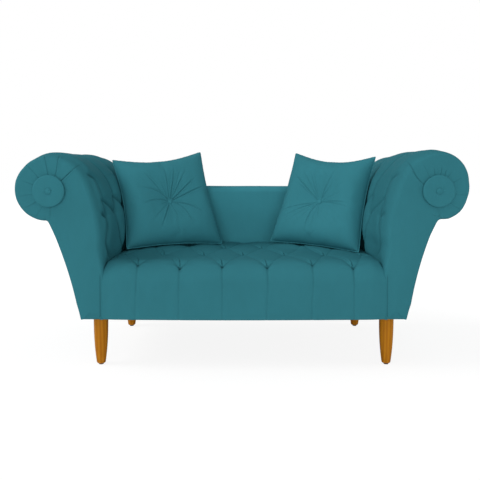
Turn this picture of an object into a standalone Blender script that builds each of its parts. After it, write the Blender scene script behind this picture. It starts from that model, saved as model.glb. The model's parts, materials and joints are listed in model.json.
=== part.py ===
"""Two-armed recamier with rolled arms, a low back, a tufted seat and two loose pillows.

Metres, +Z up, front at -Y. The origin is on the floor under the middle of the part. Depths along Y are
given as a distance f behind the front face of the arms, and y_at(f) turns one into Y.
"""

import math

import bmesh
import bpy
from mathutils import Matrix, Vector
from mathutils.bvhtree import BVHTree

# Overall sizes
SEAT_WIDTH = 0.995
BODY_DEPTH = 0.690
ARM_HEIGHT = 0.768
SEAT_HEIGHT = 0.380
BACK_HEIGHT = 0.636
BACK_DEPTH = 0.090

# Air left between two pieces that touch
GAP = 0.0003

# Legs, with the hanger bolt and the glide under each
LEG_LENGTH = 0.178
LEG_TOP_RADIUS = 0.0262
LEG_TIP_RADIUS = 0.0155
LEG_TIP_ROUND = 0.007
LEG_TAPER_POWER = 2.5
BOLT_RADIUS = 0.004
BOLT_IN_LEG = 0.035
BOLT_IN_BLOCK = 0.045
BORE_CLEARANCE = 0.0004
GLIDE_RADIUS = 0.0085
GLIDE_THICKNESS = 0.004
GLIDE_PIN_RADIUS = 0.0016
GLIDE_PIN_LENGTH = 0.014

# Corner blocks: width along X and depth along Y. The leg stands under the middle of its block
BLOCK_SIZE = {"front": (0.050, 0.034), "rear": (0.078, 0.056)}

# Base frame
RAIL_HEIGHT = 0.078
SIDE_RAIL_THICKNESS = 0.022
END_RAIL_THICKNESS = 0.018
CROSSBAR_WIDTH = 0.040
DUST_COVER = 0.0015
WEBBING = 0.0022
STRAP_WIDTH = 0.050
STRAP_STEP = 0.140
STRAPS_BACKWARD = 7
STRAPS_ACROSS = 3

# Arm section, as arcs: inner curve, shoulder and scroll, then the waist on the outside
ARM_FOOT_WIDTH = 0.0755
INNER_CURVE_RADIUS = 0.630
SHOULDER_RADIUS = 0.145
SHOULDER_TURN = math.radians(66.0)
SCROLL_RADIUS = 0.1155
WAIST_RADIUS = 1.350
NECK_DROP = 0.012
NECK_FILLET = 0.018

# Arm layers
FACING_THICKNESS = 0.018
FACING_EDGE_ROUND = 0.007
RIB_THICKNESS = 0.015
REAR_SKIN = 0.004
OUTER_PANEL = 0.004
ARM_PAD = 0.030
BOARD = 0.004
BATTEN = 0.036
WAIST_BATTEN_HEIGHT = 0.430

# Round medallion on each scroll, and the nailed button in its middle
MEDALLION_RADIUS = 0.057
MEDALLION_THICKNESS = 0.015
MEDALLION_DROP = 0.018
BUTTON_RADIUS = 0.0115
BUTTON_HEAD = 0.006
NAIL_RADIUS = 0.0015
NAIL_LENGTH = 0.044
PLEATS = 9
PLEAT_FIRST = math.radians(43.0)
PLEAT_LAST = math.radians(272.0)
PLEAT_HALF_WIDTH = 0.0025

# Tufting: a lattice of pulled points with a fold between neighbours
SEAT_TUFT_PITCH = 0.154
SEAT_TUFT_ROW = 0.205
SEAT_TUFT_ROWS = 4
SEAT_EDGE_RADIUS = 0.070
SEAT_FRONT_ROW_TURN = math.radians(35.0)
SEAT_SIDE_DROP = 0.015
SEAT_BOW = 0.012
SEAT_HEM_RISE = 0.35
ARM_TUFT_PITCH = 0.170
ARM_TUFT_FIRST = 0.057
LOW_TUFT_DROP = 0.235
HIGH_TUFT_DROP = 0.160
TUFT_DEPTH = 0.014
TUFT_RADIUS = 0.022
FOLD_DEPTH = 0.006
SEAT_CROWN = 0.010
ARM_CROWN = 0.007
FULLNESS = 0.35
EDGE_FADE = 0.030
LATTICE_STEPS = 6
STEPS_TO_TUFT = 3

# Back
BACK_EDGE_RADIUS = 0.028
BACK_TOP_PAD = 0.034
POST_WIDTH = 0.040
TOP_RAIL_HEIGHT = 0.020

# Pillows
PILLOW_SIDE = 0.425
PILLOW_HALF_THICKNESS = 0.072
PILLOW_DRAW_IN = 0.090
PILLOW_TUFT = 0.034
PILLOW_TUFT_RADIUS = 0.060
PILLOW_STEPS = 16
PILLOW_BUTTON_RADIUS = 0.011
PILLOW_BUTTON_THICKNESS = 0.006
PILLOW_LEAN = math.radians(25.0)
LEFT_PILLOW_TURN = math.radians(31.0)
RIGHT_PILLOW_TURN = math.radians(36.0)
PILLOW_FROM_ARM = 0.020
# A pillow is lifted by these shares of the lift each time it is slid further back over the tufts
PILLOW_LIFT = 0.014
LIFT_SHARES = (1.0, 0.36, 0.14)
SLIDE_STEP = 0.008
SLIDE_FINEST = 0.0001

# Places that follow from the sizes
ARM_INNER_X = SEAT_WIDTH / 2
SEAT_DEPTH = BODY_DEPTH - BACK_DEPTH
ARM_TUFT_HEIGHTS = (ARM_HEIGHT - LOW_TUFT_DROP, ARM_HEIGHT - HIGH_TUFT_DROP)
FRONT_Y = (MEDALLION_THICKNESS + BUTTON_HEAD + 2 * GAP - BODY_DEPTH) / 2
LEG_BOTTOM = GLIDE_THICKNESS + GAP
BASE_Z = LEG_BOTTOM + LEG_LENGTH + GAP
FRAME_BOTTOM = BASE_Z + DUST_COVER + GAP
FRAME_TOP = FRAME_BOTTOM + RAIL_HEIGHT
DECK_Z = FRAME_TOP + WEBBING + 2 * GAP
FRONT_STACK = FACING_THICKNESS + RIB_THICKNESS + 2 * GAP
REAR_STACK = BODY_DEPTH - REAR_SKIN - RIB_THICKNESS - 2 * GAP
SIDE_RAIL_OUTER = ARM_INNER_X + ARM_FOOT_WIDTH - OUTER_PANEL - 3 * GAP
SIDE_RAIL_INNER = SIDE_RAIL_OUTER - SIDE_RAIL_THICKNESS
FRONT_RAIL_BACK = FRONT_STACK + END_RAIL_THICKNESS
REAR_RAIL_FRONT = REAR_STACK - END_RAIL_THICKNESS
BLOCK_F = {
    "front": (FRONT_RAIL_BACK + GAP, FRONT_RAIL_BACK + GAP + BLOCK_SIZE["front"][1]),
    "rear": (REAR_RAIL_FRONT - GAP - BLOCK_SIZE["rear"][1], REAR_RAIL_FRONT - GAP),
}
BOARD_INSET = ARM_PAD + GAP
RIB_INSET = BOARD_INSET + BOARD + GAP
PANEL_INSET = OUTER_PANEL + GAP
PAD_FRONT = FACING_THICKNESS + GAP
PAD_REAR = BODY_DEPTH - REAR_SKIN - GAP

# The section of the right arm, in X and Z. Centres of its arcs
SCROLL_X = (
    ARM_INNER_X + INNER_CURVE_RADIUS - (INNER_CURVE_RADIUS - SHOULDER_RADIUS) * math.sin(SHOULDER_TURN)
)
SCROLL_CENTRE = Vector((SCROLL_X, ARM_HEIGHT - SCROLL_RADIUS))
SHOULDER_CENTRE = Vector((SCROLL_X, ARM_HEIGHT - SHOULDER_RADIUS))
INNER_CENTRE = Vector((
    ARM_INNER_X + INNER_CURVE_RADIUS,
    SHOULDER_CENTRE.y - (INNER_CURVE_RADIUS - SHOULDER_RADIUS) * math.cos(SHOULDER_TURN),
))
TURN_LEFT = math.pi / 2 + SHOULDER_TURN
FOOT_POINT = Vector((ARM_INNER_X + ARM_FOOT_WIDTH, BASE_Z))
NECK_POINT = Vector((SCROLL_X, SCROLL_CENTRE.y - SCROLL_RADIUS - NECK_DROP))
MEDALLION_Z = SCROLL_CENTRE.y - MEDALLION_DROP


def y_at(f):
    """Y of a depth f behind the front face of the arms."""
    return FRONT_Y + f


def on_circle(centre, radius, angle):
    return centre + Vector((radius * math.cos(angle), radius * math.sin(angle)))


def waist_centre():
    """Centre of the outer arc, which passes the foot and the neck and curves away from the arm."""
    chord = NECK_POINT - FOOT_POINT
    outward = Vector((chord.y, -chord.x)).normalized()
    reach = math.sqrt(WAIST_RADIUS**2 - (chord.length / 2) ** 2)
    return (FOOT_POINT + NECK_POINT) / 2 + outward * reach


def neck_centre(inset):
    """Centre of the hollow fillet that touches the scroll and the outer arc set in by inset."""
    fillet = NECK_FILLET + inset
    r0 = SCROLL_RADIUS + fillet
    r1 = WAIST_RADIUS + inset - fillet
    waist = waist_centre()
    between = waist - SCROLL_CENTRE
    along = (r0**2 - r1**2 + between.length_squared) / (2 * between.length)
    across = math.sqrt(r0**2 - along**2)
    unit = between.normalized()
    side = Vector((unit.y, -unit.x))
    return SCROLL_CENTRE + unit * along + side * across


def angle_of(point, centre):
    return math.atan2(point.y - centre.y, point.x - centre.x)


def spread(start, end, count):
    """count + 1 even values from start to end."""
    return [start + (end - start) * k / count for k in range(count + 1)]


def pad_bends():
    """Centre, radius and angle of points up the inside of the arm, over the shoulder and round the scroll.

    A point stands at the height of each row of tufts.
    """
    top = math.pi / 2
    end = angle_of(neck_centre(0.0), SCROLL_CENTRE) + 2 * GAP / SCROLL_RADIUS
    rows = [math.pi - math.asin((z - INNER_CENTRE.y) / INNER_CURVE_RADIUS) for z in ARM_TUFT_HEIGHTS]
    inner = [math.pi]
    for angle in rows:
        inner += spread(inner[-1], angle, STEPS_TO_TUFT)[1:]
    inner += spread(inner[-1], TURN_LEFT, 2)[1:]
    bends = [(INNER_CENTRE, INNER_CURVE_RADIUS, a) for a in inner]
    bends += [(SHOULDER_CENTRE, SHOULDER_RADIUS, a) for a in spread(TURN_LEFT, top, 5)[1:]]
    bends += [(SCROLL_CENTRE, SCROLL_RADIUS, a) for a in spread(top, end, 9)[1:]]
    return bends


def pad_path(inset, bottom):
    """Points of the padded side of the arm, set in by inset, from the height bottom upwards."""
    foot = Vector((ARM_INNER_X + inset, bottom))
    return [foot] + [on_circle(c, r - inset, a) for c, r, a in pad_bends()]


def neck_path(inset):
    """Points of the hollow fillet under the scroll, up to the start of the waist."""
    neck = neck_centre(inset)
    start = angle_of(SCROLL_CENTRE, neck)
    end = angle_of(neck, waist_centre())
    return [on_circle(neck, NECK_FILLET + inset, a) for a in spread(start, end, 4)[:-1]]


def waist_path(inset, bottom):
    """Points down the outside of the arm from the fillet to the height bottom."""
    waist = waist_centre()
    radius = WAIST_RADIUS + inset
    start = angle_of(neck_centre(inset), waist)
    foot = math.pi - math.asin((bottom - waist.y) / radius)
    return [on_circle(waist, radius, a) for a in spread(start, foot, 6)]


def outer_path(inset, bottom):
    return neck_path(inset) + waist_path(inset, bottom)


def arm_outline(inset, bottom):
    """The whole outline of the arm, set in by inset all round."""
    return pad_path(inset, bottom) + outer_path(inset, bottom)


def arm_inner_x(z):
    """X of the padded side of the arm at height z, up to the shoulder."""
    rise = max(0.0, z - INNER_CENTRE.y)
    return INNER_CENTRE.x - math.sqrt(INNER_CURVE_RADIUS**2 - rise**2)


# Scene, collections and materials
for old in list(bpy.data.objects):
    bpy.data.objects.remove(old)
parts = bpy.data.collections.new("recamier")
cutters = bpy.data.collections.new("cutters")
bpy.context.scene.collection.children.link(parts)
bpy.context.scene.collection.children.link(cutters)


def material(name, colour, roughness, metallic=0.0):
    made = bpy.data.materials.new(name)
    made.use_nodes = True
    shader = made.node_tree.nodes["Principled BSDF"]
    shader.inputs["Base Color"].default_value = (*colour, 1.0)
    shader.inputs["Roughness"].default_value = roughness
    shader.inputs["Metallic"].default_value = metallic
    return made


TEAL = material("teal_suede", (0.030, 0.165, 0.205), 0.85)
STAINED = material("stained_wood", (0.35, 0.14, 0.03), 0.35)
PINE = material("pine", (0.62, 0.43, 0.24), 0.7)
HARDBOARD = material("hardboard", (0.28, 0.17, 0.09), 0.75)
STEEL = material("steel", (0.55, 0.55, 0.56), 0.35, 1.0)
NYLON = material("nylon", (0.04, 0.04, 0.04), 0.5)
STRAP = material("webbing", (0.10, 0.10, 0.11), 0.9)
LINING = material("dust_lining", (0.02, 0.02, 0.02), 0.9)


def add(name, mesh, finish, collection=parts):
    obj = bpy.data.objects.new(name, mesh)
    collection.objects.link(obj)
    if finish is not None:
        mesh.materials.clear()
        mesh.materials.append(finish)
    if collection is cutters:
        obj.hide_render = True
        obj.display_type = "WIRE"
    return obj


def shade(obj, angle=math.radians(35.0)):
    obj.data.shade_smooth()
    obj.data.set_sharp_from_angle(angle=angle)


def face_out(bm):
    """Turns every face of a closed mesh outwards."""
    bmesh.ops.recalc_face_normals(bm, faces=bm.faces)
    if bm.calc_volume(signed=True) < 0:
        bmesh.ops.reverse_faces(bm, faces=bm.faces)


def box(name, x, f, z, finish, collection=parts):
    """A board or block from its ranges in X, depth f and Z."""
    bm = bmesh.new()
    size = Vector((x[1] - x[0], f[1] - f[0], z[1] - z[0]))
    middle = Vector(((x[0] + x[1]) / 2, y_at((f[0] + f[1]) / 2), (z[0] + z[1]) / 2))
    bmesh.ops.create_cube(bm, size=1.0, matrix=Matrix.Diagonal(size).to_4x4())
    mesh = bpy.data.meshes.new(name)
    bm.to_mesh(mesh)
    bm.free()
    obj = add(name, mesh, finish, collection)
    obj.location = middle
    return obj


def plate(name, outline, f, finish, side=1, edge_round=0.0, collection=parts):
    """A flat piece that stands between depths f[0] and f[1], with its front edge rounded if asked."""
    thick = f[1] - f[0]
    curve = bpy.data.curves.new(name, "CURVE")
    curve.dimensions = "2D"
    curve.fill_mode = "BOTH"
    curve.extrude = thick / 2
    spline = curve.splines.new("POLY")
    spline.points.add(len(outline) - 1)
    for target, point in zip(spline.points, outline):
        target.co = (side * point.x, point.y, 0.0, 1.0)
    spline.use_cyclic_u = True
    flat = bpy.data.objects.new(name + "_flat", curve)
    cutters.objects.link(flat)
    flat.location = (0.0, y_at((f[0] + f[1]) / 2), 0.0)
    flat.rotation_euler = (math.pi / 2, 0.0, 0.0)
    bpy.context.view_layer.update()
    graph = bpy.context.evaluated_depsgraph_get()
    mesh = bpy.data.meshes.new_from_object(flat.evaluated_get(graph))
    placed = flat.matrix_world.copy()
    bpy.data.objects.remove(flat)
    bm = bmesh.new()
    bm.from_mesh(mesh)
    bmesh.ops.remove_doubles(bm, verts=bm.verts, dist=1e-5)
    bmesh.ops.dissolve_limit(bm, angle_limit=1e-3, verts=bm.verts, edges=bm.edges)
    if edge_round:
        rim = [e for e in bm.edges if all(abs(v.co.z - thick / 2) < 1e-6 for v in e.verts)]
        bmesh.ops.bevel(bm, geom=rim, offset=edge_round, segments=2, profile=0.5, affect="EDGES")
    face_out(bm)
    bm.to_mesh(mesh)
    bm.free()
    obj = add(name, mesh, finish, collection)
    obj.matrix_world = placed
    return obj


def turned(name, profile, sides, finish, place):
    """A round piece: profile is (radius, height) pairs from top to bottom, placed by the matrix place."""
    bm = bmesh.new()
    corners = [bm.verts.new((r, 0.0, h)) for r, h in profile]
    for a, b in zip(corners, corners[1:]):
        bm.edges.new((a, b))
    mesh = bpy.data.meshes.new(name)
    bm.to_mesh(mesh)
    bm.free()
    obj = add(name, mesh, finish)
    screw = obj.modifiers.new("turn", "SCREW")
    screw.axis = "Z"
    screw.steps = screw.render_steps = sides
    screw.use_merge_vertices = True
    screw.merge_threshold = 1e-5
    screw.use_smooth_shade = True
    obj.matrix_world = place
    return obj


def cut(obj, cutter, operation="DIFFERENCE"):
    made = obj.modifiers.new(cutter.name, "BOOLEAN")
    made.operation = operation
    made.object = cutter
    made.solver = "EXACT"


def rod_cutter(name, radius, length, place, sides=12):
    """A round bar along its local Z, for cutting a bore."""
    bm = bmesh.new()
    bmesh.ops.create_cone(
        bm, cap_ends=True, segments=sides, radius1=radius, radius2=radius, depth=length,
    )
    mesh = bpy.data.meshes.new(name)
    bm.to_mesh(mesh)
    bm.free()
    obj = add(name, mesh, None, cutters)
    obj.matrix_world = place
    return obj


def facing_front(x, f, z):
    """A matrix that puts a turned piece at a point with its local Z towards the front."""
    return Matrix.Translation((x, y_at(f), z)) @ Matrix.Rotation(math.pi / 2, 4, "X")


def stations(first, last, anchor, step):
    """Values from first to last: those on the lattice anchor + k * step, and both ends."""
    low = math.ceil((first - anchor) / step + 0.25)
    high = math.floor((last - anchor) / step - 0.25)
    return [first] + [anchor + k * step for k in range(low, high + 1)] + [last]


def tuft_rise(across, along, pitch, rows, row_gap, crown):
    """Height of a tufted surface above its plain form.

    across is measured from a tuft of the first row and along from that row. Between the first and last
    rows the folds run as a diamond lattice. Beyond them they run straight on. The surface swells between
    the folds and is pulled down at each tuft.
    """
    last = (rows - 1) * row_gap
    inside = min(max(along, 0.0), last)
    shear = inside / (2 * row_gap)
    turns = across / pitch
    swell = abs(math.sin(math.pi * (turns + shear)) * math.sin(math.pi * (turns - shear)))
    nearest_row = round(inside / row_gap)
    offset = 0.5 * (nearest_row % 2)
    off_tuft = (turns - offset - round(turns - offset)) * pitch
    distance_sq = off_tuft**2 + (along - nearest_row * row_gap) ** 2
    pull = TUFT_DEPTH * math.exp(-distance_sq / TUFT_RADIUS**2)
    return -FOLD_DEPTH + (FOLD_DEPTH + crown) * swell**FULLNESS - pull


def pad(name, rows, back, finish):
    """A closed pad: rows is a grid of points over its outer surface, and back is the plain inner line.

    rows[i][j] runs along the section with i and across the pad with j. The first and last columns are the
    pad's flat ends, and back gives the inner line there, as a function of the column's index 0 or -1.
    """
    bm = bmesh.new()
    across = len(rows[0]) - 1
    along = len(rows) - 1
    bmesh.ops.create_grid(bm, x_segments=across, y_segments=along, size=1.0)
    verts = sorted(bm.verts, key=lambda v: (round(v.co.y, 6), round(v.co.x, 6)))
    grid = [verts[i * (across + 1):(i + 1) * (across + 1)] for i in range(along + 1)]
    for row, points in zip(grid, rows):
        for vert, point in zip(row, points):
            vert.co = point
    inner = [[bm.verts.new(p) for p in back(end)] for end in (0, -1)]
    for end, line in zip((0, -1), inner):
        bm.faces.new([row[end] for row in grid] + line[::-1])
    for a0, a1, b0, b1 in zip(inner[0], inner[0][1:], inner[1], inner[1][1:]):
        bm.faces.new((a0, a1, b1, b0))
    bm.faces.new(grid[0] + [inner[1][0], inner[0][0]])
    bm.faces.new(grid[-1] + [inner[1][-1], inner[0][-1]])
    face_out(bm)
    bmesh.ops.triangulate(bm, faces=bm.faces)
    mesh = bpy.data.meshes.new(name)
    bm.to_mesh(mesh)
    bm.free()
    obj = add(name, mesh, finish)
    shade(obj, math.radians(60.0))
    return obj


# Legs: stained turned wood, a steel hanger bolt up into the corner block, and a nylon glide underneath
def leg_profile():
    flare = LEG_TOP_RADIUS - LEG_TIP_RADIUS
    heights = spread(LEG_LENGTH, LEG_TIP_ROUND * 1.4, 8)
    side = [
        (LEG_TIP_RADIUS + flare * (1 - (1 - h / LEG_LENGTH) ** LEG_TAPER_POWER), h)
        for h in heights
    ]
    foot = side[-1][0] - LEG_TIP_ROUND
    tip = [
        (foot + LEG_TIP_ROUND * math.cos(a), LEG_TIP_ROUND * (1 - math.sin(a)))
        for a in spread(0.0, math.pi / 2, 3)[1:]
    ]
    return [(0.0, LEG_LENGTH)] + side + tip + [(0.0, 0.0)]


def make_leg(end, side_name, side):
    block_f = BLOCK_F[end]
    block_far = SIDE_RAIL_INNER - GAP
    block_near = block_far - BLOCK_SIZE[end][0]
    x = side * (block_near + block_far) / 2
    f = sum(block_f) / 2
    place = Matrix.Translation((x, y_at(f), LEG_BOTTOM))
    tag = f"{end}_{side_name}"
    leg = turned(f"{tag}_leg", leg_profile(), 20, STAINED, place)
    block_x = sorted((side * block_near, side * block_far))
    block = box(f"{tag}_corner_block", block_x, block_f, (FRAME_BOTTOM, FRAME_TOP), PINE)
    low = BASE_Z - BOLT_IN_LEG
    high = FRAME_BOTTOM + BOLT_IN_BLOCK
    bolt_profile = [(0.0, high), (BOLT_RADIUS, high), (BOLT_RADIUS, low), (0.0, low)]
    turned(f"{tag}_hanger_bolt", bolt_profile, 12, STEEL, Matrix.Translation((x, y_at(f), 0.0)))
    bore_radius = BOLT_RADIUS / math.cos(math.pi / 12) + BORE_CLEARANCE
    bore = rod_cutter(
        f"{tag}_bolt_bore",
        bore_radius,
        high - low + 2 * GAP,
        Matrix.Translation((x, y_at(f), (high + low) / 2)),
    )
    cut(leg, bore)
    cut(block, bore)
    pin_top = GLIDE_THICKNESS + GLIDE_PIN_LENGTH
    glide_profile = [
        (0.0, pin_top),
        (GLIDE_PIN_RADIUS, pin_top),
        (GLIDE_PIN_RADIUS, GLIDE_THICKNESS),
        (GLIDE_RADIUS, GLIDE_THICKNESS),
        (GLIDE_RADIUS, 0.0),
        (0.0, 0.0),
    ]
    turned(f"{tag}_glide", glide_profile, 16, NYLON, Matrix.Translation((x, y_at(f), 0.0)))
    pin_bore = rod_cutter(
        f"{tag}_pin_bore",
        GLIDE_PIN_RADIUS / math.cos(math.pi / 12) + BORE_CLEARANCE,
        2 * (GLIDE_PIN_LENGTH + GAP),
        Matrix.Translation((x, y_at(f), GLIDE_THICKNESS)),
    )
    cut(leg, pin_bore)
    return bore


bolt_bores = [
    make_leg(end, side_name, side)
    for end in ("front", "rear")
    for side_name, side in (("left", -1), ("right", 1))
]


# Base frame, webbing and the lining under it
def make_base():
    height = (FRAME_BOTTOM, FRAME_TOP)
    for side_name, side in (("left", -1), ("right", 1)):
        x = sorted((side * SIDE_RAIL_INNER, side * SIDE_RAIL_OUTER))
        box(f"{side_name}_side_rail", x, (FRONT_STACK, REAR_STACK), height, PINE)
    reach = SIDE_RAIL_INNER - GAP
    box("front_rail", (-reach, reach), (FRONT_STACK, FRONT_RAIL_BACK), height, PINE)
    box("rear_rail", (-reach, reach), (REAR_RAIL_FRONT, REAR_STACK), height, PINE)
    bar = CROSSBAR_WIDTH / 2
    box("centre_crossbar", (-bar, bar), (FRONT_RAIL_BACK + GAP, REAR_RAIL_FRONT - GAP), height, PINE)

    top = (FRAME_TOP + GAP, FRAME_TOP + GAP + WEBBING)
    half = STRAP_WIDTH / 2
    strap_x = [STRAP_STEP * (k - (STRAPS_BACKWARD - 1) / 2) for k in range(STRAPS_BACKWARD)]
    ends = (FRONT_STACK + GAP, REAR_STACK - GAP)
    webbing = box("seat_webbing", (strap_x[0] - half, strap_x[0] + half), ends, top, STRAP)
    for k, x in enumerate(strap_x[1:]):
        strap = box(f"strap_back_{k}", (x - half, x + half), ends, top, None, cutters)
        cut(webbing, strap, "UNION")
    wide = SIDE_RAIL_OUTER - GAP
    span = REAR_RAIL_FRONT - FRONT_RAIL_BACK
    for k in range(STRAPS_ACROSS):
        f = FRONT_RAIL_BACK + span * (k + 1) / (STRAPS_ACROSS + 1)
        strap = box(f"strap_across_{k}", (-wide, wide), (f - half, f + half), top, None, cutters)
        cut(webbing, strap, "UNION")

    lining = box(
        "dust_lining",
        (-SIDE_RAIL_OUTER, SIDE_RAIL_OUTER),
        (FRONT_STACK + GAP, REAR_STACK - GAP),
        (BASE_Z, BASE_Z + DUST_COVER),
        LINING,
    )
    for bore in bolt_bores:
        cut(lining, bore)


make_base()


# Seat: one pad over the webbing that turns down over the front rail
def seat_line(t):
    """(f, z) and outward normal (f, z) of the plain seat at length t forward from the back."""
    flat = SEAT_DEPTH - GAP - SEAT_EDGE_RADIUS
    bend = SEAT_EDGE_RADIUS * math.pi / 2
    if t <= flat:
        return (SEAT_DEPTH - GAP - t, SEAT_HEIGHT), (0.0, 1.0)
    if t <= flat + bend:
        a = (t - flat) / SEAT_EDGE_RADIUS
        normal = (-math.sin(a), math.cos(a))
        centre = (SEAT_EDGE_RADIUS, SEAT_HEIGHT - SEAT_EDGE_RADIUS)
        f, z = (c + SEAT_EDGE_RADIUS * n for c, n in zip(centre, normal))
        return (f, z), normal
    return (0.0, SEAT_HEIGHT - SEAT_EDGE_RADIUS - (t - flat - bend)), (-1.0, 0.0)


def make_seat():
    half = ARM_INNER_X - GAP
    flat = SEAT_DEPTH - GAP - SEAT_EDGE_RADIUS
    bend = SEAT_EDGE_RADIUS * math.pi / 2
    front_row = flat + SEAT_EDGE_RADIUS * SEAT_FRONT_ROW_TURN
    full = flat + bend + (SEAT_HEIGHT - SEAT_EDGE_RADIUS - BASE_Z)
    xs = stations(-half, half, SEAT_TUFT_PITCH / 2, SEAT_TUFT_PITCH / LATTICE_STEPS)
    top = stations(0.0, front_row, front_row, SEAT_TUFT_ROW * 2 / LATTICE_STEPS)
    ts = top + spread(front_row, flat + bend, 3)[1:] + spread(flat + bend, full, 3)[1:]
    rows = []
    for t in ts:
        (f, z), (nf, nz) = seat_line(t)
        down = max(0.0, (t - front_row) / (full - front_row))
        hem_fade = 1 - (1 - SEAT_HEM_RISE) * down
        row = []
        for x in xs:
            across = x - SEAT_TUFT_PITCH / 2
            rise = tuft_rise(
                across, front_row - t, SEAT_TUFT_PITCH, SEAT_TUFT_ROWS, SEAT_TUFT_ROW, SEAT_CROWN,
            )
            fade = min(1.0, (half - abs(x)) / EDGE_FADE)
            rise = rise * hem_fade * fade - SEAT_SIDE_DROP * (1 - fade) ** 2
            bow = SEAT_BOW * (1 - (x / half) ** 2) * (1 - f / SEAT_DEPTH)
            row.append(Vector((x, y_at(f + nf * rise - bow), z + nz * rise)))
        rows.append(row)

    def back(end):
        x = rows[0][end].x
        line = ((SEAT_DEPTH - GAP, DECK_Z), (FRONT_STACK - GAP, DECK_Z), (FRONT_STACK - GAP, BASE_Z))
        return [Vector((x, y_at(f), z)) for f, z in line]

    return pad("seat_pad", rows, back, TEAL)


seat_pad = make_seat()


# Arms
def pad_stations():
    """Points (x, z) and outward normals along the padded side of the arm, and their lengths along it."""
    straight = (DECK_Z, SEAT_HEIGHT + SEAT_CROWN)
    made = [(Vector((ARM_INNER_X, z)), Vector((-1.0, 0.0))) for z in straight]
    made += [(on_circle(c, r, a), Vector((math.cos(a), math.sin(a)))) for c, r, a in pad_bends()]
    lengths = [0.0]
    for (p, _), (q, _) in zip(made, made[1:]):
        lengths.append(lengths[-1] + (q - p).length)
    low_row = lengths[len(straight) + STEPS_TO_TUFT]
    high_row = lengths[len(straight) + 2 * STEPS_TO_TUFT]
    return made, lengths, low_row, high_row


def make_arm(side_name, side):
    made, lengths, low_row, high_row = pad_stations()
    anchor = PAD_FRONT + ARM_TUFT_FIRST
    fs = stations(PAD_FRONT, PAD_REAR, anchor, ARM_TUFT_PITCH / LATTICE_STEPS)
    rows = []
    for (point, normal), length in zip(made, lengths):
        row = []
        for f in fs:
            rise = tuft_rise(
                f - anchor, length - low_row, ARM_TUFT_PITCH, 2, high_row - low_row, ARM_CROWN,
            )
            clear = (
                f - PAD_FRONT,
                SEAT_DEPTH - EDGE_FADE - f,
                max(point.y - SEAT_HEIGHT - SEAT_CROWN, point.x - ARM_INNER_X - ARM_FOOT_WIDTH),
                lengths[-1] - length,
            )
            shift = normal * rise
            for distance in clear:
                shift *= min(1.0, max(0.0, distance) / EDGE_FADE)
            row.append(Vector((side * (point.x + shift.x), y_at(f), point.y + shift.y)))
        rows.append(row)
    inner = pad_path(ARM_PAD, DECK_Z)

    def back(end):
        y = rows[0][end].y
        return [Vector((side * p.x, y, p.y)) for p in inner]

    arm_pad = pad(f"{side_name}_arm_pad", rows, back, TEAL)

    near = pad_path(BOARD_INSET, DECK_Z)
    far = pad_path(BOARD_INSET + BOARD, DECK_Z)
    plate(f"{side_name}_arm_board", near + far[::-1], (PAD_FRONT, PAD_REAR), HARDBOARD, side)
    rib = pad_path(RIB_INSET, FRAME_BOTTOM) + waist_path(PANEL_INSET, FRAME_BOTTOM)
    front_rib = plate(
        f"{side_name}_front_rib", rib, (PAD_FRONT, PAD_FRONT + RIB_THICKNESS), HARDBOARD, side,
    )
    plate(f"{side_name}_rear_rib", rib, (PAD_REAR - RIB_THICKNESS, PAD_REAR), HARDBOARD, side)
    outside = outer_path(0.0, BASE_Z)
    inside = outer_path(OUTER_PANEL, BASE_Z)
    plate(f"{side_name}_outer_panel", outside + inside[::-1], (PAD_FRONT, PAD_REAR), TEAL, side)

    whole = arm_outline(0.0, BASE_Z)
    facing = plate(
        f"{side_name}_front_facing", whole, (0.0, FACING_THICKNESS), TEAL, side, FACING_EDGE_ROUND,
    )
    plate(f"{side_name}_rear_facing", whole, (BODY_DEPTH - REAR_SKIN, BODY_DEPTH), TEAL, side)
    cut(facing, pleat_cutter(side_name, side))

    x = side * SCROLL_X
    length = (PAD_FRONT + RIB_THICKNESS + GAP, PAD_REAR - RIB_THICKNESS - GAP)
    half = BATTEN / 2
    scroll_z = (SCROLL_CENTRE.y - half, SCROLL_CENTRE.y + half)
    box(f"{side_name}_scroll_batten", (x - half, x + half), length, scroll_z, PINE)
    waist_x = side * (arm_inner_x(WAIST_BATTEN_HEIGHT + half) + RIB_INSET + half + GAP)
    waist_z = (WAIST_BATTEN_HEIGHT - half, WAIST_BATTEN_HEIGHT + half)
    waist_across = (waist_x - half, waist_x + half)
    box(f"{side_name}_waist_batten", waist_across, length, waist_z, PINE)

    medallion_profile = [
        (0.0, MEDALLION_THICKNESS),
        (0.55 * MEDALLION_RADIUS, MEDALLION_THICKNESS - 0.0010),
        (0.86 * MEDALLION_RADIUS, MEDALLION_THICKNESS - 0.0035),
        (0.97 * MEDALLION_RADIUS, MEDALLION_THICKNESS - 0.0075),
        (MEDALLION_RADIUS, 0.0020),
        (0.97 * MEDALLION_RADIUS, 0.0),
        (0.0, 0.0),
    ]
    medallion = turned(
        f"{side_name}_medallion", medallion_profile, 32, TEAL, facing_front(x, -GAP, MEDALLION_Z),
    )
    button_profile = [
        (0.0, BUTTON_HEAD),
        (0.60 * BUTTON_RADIUS, 0.88 * BUTTON_HEAD),
        (0.92 * BUTTON_RADIUS, 0.45 * BUTTON_HEAD),
        (BUTTON_RADIUS, 0.0),
        (NAIL_RADIUS, 0.0),
        (NAIL_RADIUS, -NAIL_LENGTH),
        (0.0, -NAIL_LENGTH),
    ]
    seat = -MEDALLION_THICKNESS - 2 * GAP
    nailed = facing_front(x, seat, MEDALLION_Z)
    turned(f"{side_name}_medallion_button", button_profile, 16, TEAL, nailed)
    bore = rod_cutter(
        f"{side_name}_nail_bore",
        NAIL_RADIUS / math.cos(math.pi / 12) + BORE_CLEARANCE,
        2 * (NAIL_LENGTH + GAP),
        nailed,
    )
    for holed in (medallion, facing, front_rib):
        cut(holed, bore)
    return arm_pad


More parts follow.
